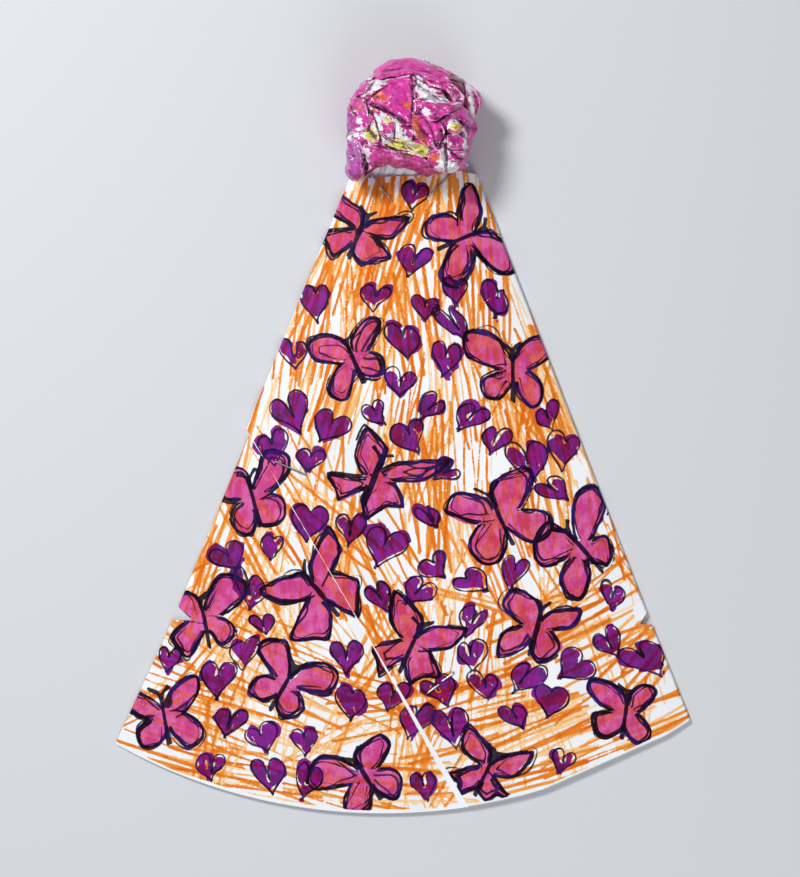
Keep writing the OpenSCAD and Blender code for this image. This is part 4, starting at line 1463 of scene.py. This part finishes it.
def head_points(n):
    """The crumpled ball for unit directions n, in mm."""
    s, phi = np.hypot(n[:, 0], n[:, 1]), np.arctan2(n[:, 1], n[:, 0])
    q = (s ** RIM_POWER + np.abs(n[:, 2]) ** RIM_POWER) ** (1 / RIM_POWER)
    r = rim_radius(phi, s / q)
    base = np.column_stack([np.cos(phi) * r * s / q, np.sin(phi) * r * s / q, HEAD_HALF * n[:, 2] / q]) + HEAD
    top = smooth(n[:, 2], 0.05, 0.4)
    x, y = base[:, 0], base[:, 1]
    flat = 1 - 0.6 * smooth(places(x, y, FACET), -0.5, 1.0) * top
    folds = sum(f(base) * a * (flat if a > 0.2 else 1) for f, a in FOLDS)
    up = np.zeros(len(n))
    for shape, amount, soft in ((FACET, 0.3, 0.5), (EAR, 0.5, 0.6), (POCKET, -0.8, 0.8), (LOBE, 0.9, 0.9),
                                (RECESS, -2.2, 0.7), (CORNER, 0.5, 0.6)):
        up += amount * smooth(places(x, y, shape), -soft, soft)
    up += 2.0 * np.sqrt(np.clip(places(x, y, ROLL), 0, 2.2) / 2.2)
    up -= pressed(x, y, 1.0)[0]
    calm = (0.4 + 0.6 * np.abs(n[:, 2])) * (1 - 0.4 * smooth(-n[:, 2], 0.0, 0.5))
    out = base + n * (folds * calm)[:, None]
    out[:, 2] += up * top * 0.85
    under = smooth(places(x, y, HOOD_OUT + HOOD_IN[::-1]), -0.3, 0.9)
    out[:, 2] -= np.clip(out[:, 2] - UNDER_HOOD, 0, None) * under
    low = out[:, 2] < FLAT_ON_TABLE
    out[low, 2] = FLAT_ON_TABLE + 0.02 * (out[low, 2] - FLAT_ON_TABLE)
    return out


def marker_paper(name, hood=False):
    """Crumpled paper in glossy marker: pink over white, with yellow and orange places, worn pale on its ridges. Painted
    shade darkens its hollows, its fine crease lines and its named creases; with hood, painted shade in dark crimson
    lies along the fold under the hood and on its downward faces.
    """
    g = Graph(name)
    broad, mid, fine = g.noise(210.0, 3.0, 0.6), g.noise(620.0, 3.0, 0.6), g.noise(1900.0, 3.0, 0.65)
    streak = g.noise(1.0, 3.0, 0.6, g.scaled((260.0, 1500.0, 260.0), 35.0))
    lash = g.noise(1.0, 2.0, 0.5, g.scaled((180.0, 900.0, 180.0), -28.0))
    edge = (broad - 0.5) * 2.0 + (streak - 0.5) * 2.4 + (lash - 0.5) * 3.0
    calm = g.attr("cp").remap(0.6, 2.4, 0.0, 0.75)
    tone = broad * 0.6 + streak * 0.4
    tone = tone + (0.55 - tone) * calm
    pink = g.ramp(tone, [(0.0, rgb(116, 2, 74)), (0.42, rgb(182, 20, 124)), (0.53, rgb(220, 50, 164)),
                         (1.0, rgb(238, 112, 198))])
    dusk = g.mix(tone.remap(0.4, 0.6), rgb(140, 24, 128), rgb(188, 74, 178))
    pink = g.mix((g.attr("cu") + edge * 0.5).remap(-0.4, 0.6, 0.0, 0.85), pink, dusk)
    white = g.mix(mid.remap(0.35, 0.65), rgb(226, 226, 232), rgb(252, 252, 254))
    loose = g.noise(150.0, 4.0, 0.62).linear(0.3, 0.7, -1.9, 1.5) - g.attr("cp") * 0.9
    bare = g.math("MAXIMUM", g.attr("cw") - 0.45, loose - (3.2 if hood else 1.25)) + edge
    color = g.mix(bare.remap(-0.12, 0.18), pink, white)
    dyed = (g.attr("cy") + edge * 0.8).remap(-0.1, 0.3, 0.0, 0.92)
    yellow = g.mix(streak.remap(0.35, 0.6), rgb(250, 242, 110), rgb(228, 218, 30))
    thin = (lash * 0.6 + streak * 0.4).remap(0.43, 0.53, 0.35, 1.0)
    color = g.mix(dyed * thin, g.mix(dyed, color, white), yellow)
    orange = g.mix(streak.remap(0.35, 0.6), rgb(240, 138, 52), rgb(226, 84, 38))
    far = g.noise(170.0, 3.0, 0.6, g.scaled((1.0, 1.0, 1.0), 70.0)).linear(0.3, 0.7, -2.4, 0.9)
    patch = g.math("MAXIMUM", g.attr("co"), far - (2.0 if hood else 0.3)) + edge * 0.7
    color = g.mix(patch.remap(-0.1, 0.5, 0.0, 0.86), color, orange)
    # fine crease lines, dark and pale: the dark ones are painted shade in the creases, the pale ones rubbed-off ink.
    # Their scale, width, strength, colour and where they start
    for scale, wide, high, tint, at in ((250.0, 0.035, 0.7, rgb(120, 8, 84), 0.55),
                                        (430.0, 0.05, 0.4, rgb(250, 226, 242), 0.6)):
        part = g.noise(scale * 0.5).remap(at, at + 0.08, 0.0, high)
        color = g.mix(g.cracks(scale).remap(wide, wide * 0.3) * part, color, tint)
    # painted shade: a dark line along each named crease
    slit = g.attr("ck") + (mid - 0.5) * 1.1
    color = g.mix(slit.remap(-0.04, 0.24, 0.0, 0.92), color, rgb(46, 12, 38))
    ridge = g.attr("cr")
    color = g.mix((ridge + (fine - 0.5) * 0.07).remap(0.05, 0.09, 0.0, 0.75), color, rgb(244, 232, 240))
    # painted shade: hollows, where the ridge value is below 0, go dark crimson
    color = g.mix(ridge.remap(-0.01, -0.055, 0.0, 0.88), color, rgb(84, 4, 56))
    # painted shade: dark crimson along the fold under the hood and on its downward faces
    if hood:
        shade = g.attr("cc") + edge * 0.22
        color = g.mix(shade.remap(-0.1, 0.3, 0.0, 0.93), color, rgb(122, 0, 54))
    g.bump((g.crinkle(260.0, (0.4, 0.9, 0.3)) * (1.0 - calm), 1.0, 0.0013),
           (g.crinkle(520.0, (1.1, 0.2, 0.8)) * (1.0 - calm), 1.0, 0.0005),
           (mid * 0.5 + g.noise(3200.0, 3.0, 0.6), 0.3, 0.00006))
    return g.finish(color, mid.remap(0.3, 0.7, 0.3, 0.46), Coat_Weight=0.8, Coat_Roughness=0.1,
                    Specular_IOR_Level=0.4)


MARKER = marker_paper("marker_on_crumpled_paper")
MARKER_HOOD = marker_paper("marker_on_folded_paper", hood=True)


# Layers of the crumpled sheet that stand proud of the ball: places on the photograph, and mm above the ball.
LAYERS = [
    [(371, 104, -.6), (388, 112, -.6), (405, 121, -.5), (412, 124, .2), (413, 134, .9), (412, 141, 1.3),
     (400, 142, 1.4), (386, 138, 1.4), (376, 130, 1.3), (370, 120, .9)],
    [(383, 88, .4), (388, 80, .2), (393, 75, -.6), (411, 74, -.6), (413, 84, -.1), (416, 100, .1), (414, 112, .7),
     (413, 125, 1.6), (407, 125, 1.8), (392, 115, 1.7), (380, 108, 1.6), (371, 103, 1.4), (372, 97, .7),
     (380, 93, .4)],
    [(424, 119, .5), (438, 119, 1.0), (442, 126, 1.4), (444, 132, 1.6), (443, 140, 1.7), (440, 147, 1.6),
     (436, 150, 1.4), (430, 146, .9), (424, 140, .7), (420, 130, .6), (419, 122, .5)],
    [(422, 101, .9), (434, 102.5, 1.4), (452, 103.5, 1.7), (462, 105, 1.5), (470, 112, 1.4), (474.5, 122, 1.5),
     (471, 125, 1.5), (463, 121, 1.7), (455, 117, 1.9), (447, 114.5, 2.1), (438, 118, 2.1), (430, 120, 1.6),
     (424, 114, 1.0), (419, 107, .6)],
    [(412, 116, 1.1), (418, 115, .8), (420, 121, .7), (421, 130, .8), (424, 138, 1.0), (430, 146, 1.1),
     (427, 149, 1.4), (420, 143, 1.5), (414, 135, 1.5), (411, 126, 1.4)],
    [(416, 101, .5), (420, 96, 1.0), (428, 92, 1.2), (438, 95, 1.4), (449, 101, 1.5), (461, 103, 1.3),
     (462, 105, 1.1), (452, 104.5, .9), (434, 103.5, .7), (424, 102, .4)],
    [(426, 76, -.6), (440, 79, -.5), (451, 83, -.5), (456.5, 89, .3), (459, 96, .8), (455, 99, 1.4), (449, 94, 1.6),
     (441, 90, 1.5), (432, 86, 1.3), (427, 82, .9)],
    [(364, 144, .4), (375, 147, 1.1), (390, 152, 1.3), (408, 153, 1.3), (424, 156, 1.2), (429, 164, 1.4),
     (429, 174, 1.4), (420, 173.5, 1.4), (408, 168, 1.6), (396, 164.5, 1.7), (384, 163.5, 1.7), (376, 166, 1.6),
     (371, 170, 1.3), (367, 165, .8), (365, 155, .5)],
    [(349, 98, .2), (356, 96, .8), (362, 102, 1.1), (368, 112, 1.2), (369, 124, 1.1), (366, 127, .6), (360, 116, .5),
     (352, 108, .2)],
    [(348.5, 112, .1), (352, 110, .7), (357, 120, 1.1), (362, 131, 1.1), (358, 134, .6), (351, 124, .3)],
    [(371, 79, -.2), (381, 75, .3), (391, 76, .2), (386, 85, 1.1), (378, 89, 1.3), (371, 94, 1.2), (364, 95, .5),
     (366, 86, .2)],
    [(447, 117, .8), (456, 114, 1.1), (462, 119, 1.3), (464, 130, 1.4), (456, 135, 1.4), (449, 132, 1.0),
     (446, 124, .6)],
    [(446, 136, .5), (458, 134, 1.1), (466, 140, 1.3), (469, 149, 1.3), (458, 150, 1.4), (448, 147, .8)],
    [(447, 150, .4), (458, 149, 1.0), (467, 153, 1.2), (465, 161, 1.3), (455, 160, 1.2), (447, 158, .6)],
    [(446, 161, .4), (456, 162, 1.0), (464, 163, 1.2), (461, 168, 1.2), (450, 171, 1.1), (445, 171, .7)],
    [(430, 151, .4), (440, 150, .9), (445, 156, 1.1), (445, 168, 1.3), (437, 173, 1.2), (430, 171, 1.0),
     (428, 160, .6)],
    [(348, 142, .2), (355, 140, .8), (362, 146, 1.1), (363, 158, 1.2), (358, 162, .8), (350, 156, .2)],
    [(349, 160, .1), (357, 158, .9), (364, 163, 1.2), (363, 174, 1.1), (357, 177, .4), (351, 172, .0)]]


def neighbours(h):
    return np.stack([np.roll(h, 1, 0), np.roll(h, -1, 0), np.roll(h, 1, 1), np.roll(h, -1, 1)])


class Below:
    """The top of the ball as a smoothed height map, for layers to lie on."""

    def __init__(self, co, tri, step=0.45):
        tree = BVHTree.FromPolygons(co.tolist(), tri.tolist())
        self.x, self.y, self.step = np.arange(-21, 21, step), np.arange(-46, -8, step), step
        h = np.full((len(self.y), len(self.x)), np.nan)
        for j, y in enumerate(self.y):
            for i, x in enumerate(self.x):
                hit = tree.ray_cast(Vector((x, y, 60.0)), Vector((0, 0, -1)))[0]
                if hit is not None and hit.z > 6.0:
                    h[j, i] = hit.z
        for _ in range(10):
            self.grow(h)
        h = np.where(np.isnan(h), 4.0, h)
        for _ in range(5):
            h = sum(neighbours(h), h) / 5
        self.h = h

    def grow(self, h):
        """Fills the cells next to known ones, a little lower."""
        near = neighbours(h)
        known = ~np.isnan(near)
        mean = np.where(known, near, 0).sum(0) / np.maximum(known.sum(0), 1)
        fill = np.isnan(h) & known.any(0)
        h[fill] = mean[fill] - 0.5

    def __call__(self, x, y):
        return bilinear(self.h, (x - self.x[0]) / self.step, (y - self.y[0]) / self.step)


LAYER_CELL = 0.34


def layer(spec, rng, below, thick):
    """A closed sheet over the ball, with its own crumples and a worn rim. Without below, heights are from the table."""
    spec = np.array(spec, float)
    corners, cell = np.column_stack([from_px(spec[:, :2]), spec[:, 2]]), LAYER_CELL
    ring = []
    for a, b in zip(corners, np.roll(corners, -1, 0)):
        m = max(1, int(np.linalg.norm((b - a)[:2]) / cell))
        ring.append(a + (b - a) * (np.arange(m)[:, None] / m))
    ring = np.vstack(ring)
    ring, high = wobbled(rng, ring[:, :2], 0.16), ring[:, 2]
    for amount, size in ((0.3, 2.4), (0.16, 1.0)):
        ring += amount * np.stack([noise(flat3(ring[:, 0] + k, ring[:, 1]), size) for k in (0, 50)], -1)
    lo, hi = ring.min(0), ring.max(0)
    gx, gy = np.meshgrid(np.arange(lo[0], hi[0], cell), np.arange(lo[1], hi[1], cell))
    g = np.stack([gx.ravel(), gy.ravel()], -1) + rng.uniform(-0.22, 0.22, (gx.size, 2)) * cell
    g = g[area_distance(g[:, 0], g[:, 1], ring) > cell * 0.55]
    found = geometry.delaunay_2d_cdt([Vector(p) for p in np.vstack([ring, g])], [], [list(range(len(ring)))], 1, 1e-6)
    p, tri = np.array([v[:] for v in found[0]]), np.array([f[:] for f in found[2]])
    u, v = p[tri[:, 1]] - p[tri[:, 0]], p[tri[:, 2]] - p[tri[:, 0]]
    tri = np.where((u[:, 0] * v[:, 1] < v[:, 0] * u[:, 1])[:, None], tri[:, ::-1], tri)
    w = 1 / (((p[:, None] - ring[None]) ** 2).sum(-1) + 0.05) ** 1.5
    rise = (w * high).sum(1) / w.sum(1)
    deep = np.clip(area_distance(p[:, 0], p[:, 1], ring), 0, 3)
    q = np.column_stack([p, below(p[:, 0], p[:, 1]) if below else np.zeros(len(p))])
    folds = sum(f(q + 71.0) * a for f, a in FOLDS[1:])
    z = q[:, 2] + rise + 0.16 * deep + 0.62 * folds - pressed(p[:, 0], p[:, 1], 0.8)[0] * smooth(deep, 0.0, 0.5)
    edges = set(map(tuple, edges_of(tri).tolist()))
    rim = np.array([(a, b) for a, b in edges if (b, a) not in edges])
    n, (a, b) = len(p), rim.T
    co = np.vstack([np.column_stack([p, z]), np.column_stack([p, z - thick])])
    wall = np.concatenate([np.stack([a, a + n, b], -1), np.stack([b, a + n, b + n], -1)])
    worn = np.zeros(2 * n)
    worn[np.unique(rim)] = 1.0
    return co, np.concatenate([tri, tri[:, ::-1] + n, wall]), worn


def with_layers(co, tri, wear_and_shade, specs, seed, below, thick, wear_and_shade_of):
    """A body and its layers as one list of points and one of triangles, with a wear and shade value for each point:
    high where it is worn pale, low in hollows, which get painted shade.
    """
    rng = np.random.default_rng(seed)
    parts, faces, wear_and_shade_parts, count = [co], [tri], [wear_and_shade], len(co)
    for spec in specs:
        c, t, rim = layer(spec, rng, below, thick)
        parts.append(c)
        faces.append(t + count)
        wear_and_shade_parts.append(wear_and_shade_of(c, np.clip(ridges(c, t), -0.06, 0.08), rim))
        count += len(c)
    return np.vstack(parts), np.concatenate(faces), np.concatenate(wear_and_shade_parts)


def make_head():
    dirs, tri = sphere(7)
    ball = head_points(dirs)
    ridge = ridges(ball, tri) * 1.0

    def wear_and_shade_of(c, ridge, rim):
        rag = 0.28 + 0.6 * noise(c, 1.7) + 0.6 * noise(c + 30, 4.0)
        return ridge * 0.9 + rim * 0.08 * np.clip(rag, 0, 1.1)

    co, faces, wear_and_shade = with_layers(ball, tri, ridge, LAYERS, 12, Below(ball, tri), 0.22, wear_and_shade_of)
    low = np.concatenate([smooth(-dirs[:, 2], -0.12, 0.5), np.zeros(len(co) - len(ball))])
    fields = {**colour_fields(co[:, 0], co[:, 1], low), "cr": wear_and_shade}
    ob = new_mesh("head_wrapper_paper", room_to_nod(seen(to_row(co))), faces, None, fields, MARKER, 28.0)
    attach(ob, "head")
    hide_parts("head_wrapper")


make_head()


def hood_points(nu, nv):
    """A flattened roll of paper laid over the top of the head from its left to its right side."""
    u = np.linspace(0, 1, nu)

    def along(outline):
        p = curve(from_px(outline), 12)
        s = np.concatenate([[0], np.cumsum(np.linalg.norm(np.diff(p, axis=0), axis=1))])
        return np.column_stack([np.interp(u * s[-1], s, p[:, k]) for k in (0, 1)])

    a, b = along(HOOD_OUT), along(HOOD_IN)
    v = np.linspace(0, 2 * math.pi, nv, endpoint=False)
    c, s = [np.sign(w) * np.abs(w) ** 0.75 for w in (np.cos(v), np.sin(v))]
    close = np.sqrt(np.clip(np.minimum(u, 1 - u) / 0.035, 0, 1))[:, None]
    mid, half = (a + b)[:, None] / 2, (a - b)[:, None] / 2
    up = 14.6 + 2.4 * np.sin(np.pi * np.clip(u * 1.1, 0, 1)) - 3.2 * smooth(u, 0.72, 1.0)
    z = up[:, None] - 2.9 * c[None] + (1.9 * close) * s[None]
    p = np.concatenate([mid + half * c[None, :, None], z[..., None]], -1)
    centre = np.concatenate([mid[:, 0], up[:, None]], -1)[:, None]
    return (centre + (p - centre) * (0.12 + 0.88 * close[..., None])).reshape(-1, 3)


def tube_faces(nu, nv):
    i, j = np.meshgrid(np.arange(nu - 1), np.arange(nv), indexing="ij")
    a, b = i * nv + j, i * nv + (j + 1) % nv
    sides = [np.stack(t, -1).reshape(-1, 3) for t in ((a, b, b + nv), (a, b + nv, a + nv))]
    n, last = nu * nv, (nu - 1) * nv
    caps = [(n, k, (k + 1) % nv) for k in range(nv)]
    caps += [(n + 1, last + (k + 1) % nv, last + k) for k in range(nv)]
    return np.concatenate(sides + [np.array(caps)])


# layers of the hood: places on the photograph, and mm above the table
HOOD_LAYERS = [
    [(446, 74, 17.2), (455, 78, 17.0), (463, 84, 16.5), (468, 93, 15.8), (471, 103, 14.9), (472, 112, 14.2),
     (467, 111, 14.0), (462, 99, 15.2), (456, 90, 16.1), (449, 82, 16.6)],
    [(463, 82.5, 17.0), (470, 85, 17.2), (476, 91, 16.6), (480.5, 98, 15.4), (480, 107, 14.3), (474.5, 115, 14.0),
     (470.5, 113, 15.6), (469.5, 103, 16.9), (467, 93, 17.6)],
    [(405, 60, 15.0), (425, 62, 16.2), (440, 69, 16.9), (452, 75.5, 17.4), (461, 81, 17.6), (455, 80, 18.2),
     (444, 79, 18.4), (430, 76, 18.3), (414, 73, 18.0), (398, 74, 17.6), (384, 76, 17.0), (385, 68, 15.8),
     (393, 62, 14.6)]]
# UNDERSIDE: the line of the fold under the hood, along which its shade is painted in crimson. STRIPE: the white stripe
# beside it.
UNDERSIDE = [(444, 75), (452.6, 78.2), (458, 83.6), (462.3, 91.2), (465.6, 99.9), (467.7, 112)]
STRIPE = [(467.7, 84), (470.3, 93.4), (471.5, 104), (472, 115)]
HOOD_FOLD = [(384, 71), (400, 69), (414, 69), (428, 73), (440, 78)]


def make_hood():
    nu, nv = ((260, 64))
    p = hood_points(nu, nv)
    p = np.vstack([p, p[:nv].mean(0), p[-nv:].mean(0)])
    tri = tube_faces(nu, nv)
    n = point_normals(p, tri)
    folds = sum(f(p + 33.0) * a for f, a in FOLDS[1:]) * 0.36
    x = p[:, 0]
    fold, _ = line_distance(x, p[:, 1], from_px(HOOD_FOLD))
    p = p + n * folds[:, None]
    p[:, 2] -= (0.7 * np.exp(-(fold / 0.5) ** 2) + 0.7 * smooth(x, 14.0, 18.0)) * smooth(n[:, 2], 0.0, 0.5)

    def wear_and_shade_of(c, ridge, rim):
        return ridge * 0.8 + rim * 0.05 * (1 + noise(c, 2.0))

    p, faces, wear_and_shade = with_layers(p, tri, ridges(p, tri), HOOD_LAYERS, 31, None, 0.35, wear_and_shade_of)
    up = np.concatenate([n[:, 2] > -0.2, np.ones(len(p) - len(n), bool)])
    stripe, under = [line_distance(p[:, 0], p[:, 1], from_px(line))[0] for line in (STRIPE, UNDERSIDE)]
    # cc, painted shade: high along the fold under the hood at its right end, stopping short of the white stripe, and
    # 0.6 on all faces turned down, which makes them crimson too
    crimson = np.minimum(2.6 * smooth(p[:, 0], 8.0, 11.5) - under, stripe - 0.8)
    fields = dict.fromkeys(("cy", "co", "cu", "ck"), np.full(len(p), -FAR))
    fields.update(cw=np.where(up, 1.15 - stripe, -FAR), cc=np.where(up, crimson, 0.6), cp=np.full(len(p), 1.4),
                  cr=wear_and_shade)
    ob = new_mesh("head_hood_paper", seen(to_row(p)), faces, None, fields, MARKER_HOOD, 28.0)
    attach(ob, "head")
    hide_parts("head_hood_fold")


make_hood()
keep_cad("head_core", PLAIN)


# ---------------------------------------------------------------- the gathered neck


def make_neck():
    """The tail of the head sheet: gathered in the dress, turned up into the head."""
    nu, nv = ((150, 110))
    u, v = np.meshgrid(np.linspace(-1, 1, nu), np.linspace(0, 1, nv), indexing="ij")
    y = -55.0 + 23.5 * v
    x = u * (13.2 - 2.2 * smooth(v, 0.35, 0.75)) + 0.3
    p = flat3(x, y)
    pleat = zigzag(u * 3.4 + 0.35 * noise(p, 9.0) + 0.4)
    fine = zigzag(u * 9.0 + 0.5 * noise(p + 50, 5.0))
    open_up, rise = smooth(v, 0.42, 0.62), smooth(y, -44.5, -38.5)
    mouth = NOD_AT[1] + 1.5 * smooth(y, -50.0, -43.5) * (1 - u * u)
    z = mouth + open_up * (0.25 + 0.45 * rise) * (pleat + 0.3 * fine) + 4.2 * rise * (1 - 0.45 * u * u)
    z += 0.12 * (1 - open_up) * pleat
    co = np.vstack([np.stack([x, y, z + half], -1).reshape(-1, 3) for half in (0.15, -0.15)])
    i, j = np.meshgrid(np.arange(nu - 1), np.arange(nv - 1), indexing="ij")
    a = (i * nv + j).ravel()
    up = np.concatenate([np.stack([a, a + nv, a + nv + 1], -1), np.stack([a, a + nv + 1, a + 1], -1)])
    n = nu * nv
    ring = np.concatenate([np.arange(nv), np.arange(1, nu) * nv + nv - 1, (nu - 1) * nv + np.arange(nv - 2, -1, -1),
                           np.arange(nu - 2, 0, -1) * nv])
    nxt = np.roll(ring, -1)
    wall = np.concatenate([np.stack([ring, nxt, nxt + n], -1), np.stack([ring, nxt + n, ring + n], -1)])
    tri = np.concatenate([up, up[:, ::-1] + n, wall])
    ob = new_mesh("neck_tail_paper", to_row(co), tri, None, None, PLAIN, 30.0)
    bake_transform(ob)
    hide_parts("neck_tail")


make_neck()


# ---------------------------------------------------------------- floor, camera, lights
SENSOR = 36.0
FLOOR_HALF, FLOOR_Z = 1.6, -0.0002


def make_stage():
    me = bpy.data.meshes.new("floor")
    corners = ((-1, -1), (1, -1), (1, 1), (-1, 1))
    me.from_pydata([(i * FLOOR_HALF, j * FLOOR_HALF, FLOOR_Z) for i, j in corners], [], [(0, 1, 2, 3)])
    floor = new_object("floor", me)
    me.materials.append(Graph("pale_floor").finish(rgb(214, 216, 220), 0.9, Specular_IOR_Level=0.1))


def area_light(name, at, size, watts):
    """A round lamp that points at the middle of the doll."""
    data = bpy.data.lights.new(name, "AREA")
    data.shape, data.size, data.energy = "DISK", size, watts
    ob = new_object(name, data)
    ob.location = at
    ob.rotation_euler = (-ob.location).to_track_quat("-Z", "Y").to_euler()


def make_camera():
    data = bpy.data.cameras.new("camera")
    data.sensor_fit, data.sensor_width = "AUTO", SENSOR
    data.lens = SENSOR * CAMERA[2] / PICTURE
    data.clip_start, data.clip_end = 0.05, 10
    ob = new_object("camera", data)
    ob.location = tuple(CAMERA)
    bpy.context.scene.camera = ob


make_stage()
make_camera()
area_light("key", (-0.35, 0.35, 0.6), 0.2, 4.4)
area_light("fill", (0.2, -0.55, 0.45), 0.5, 1.7)
world = bpy.data.worlds.new("world")
world.use_nodes = True
world.node_tree.nodes["Background"].inputs[0].default_value = (0.92, 0.95, 1.0, 1)
world.node_tree.nodes["Background"].inputs[1].default_value = 0.3
bpy.context.scene.world = world
bpy.context.scene.view_settings.view_transform = "Standard"
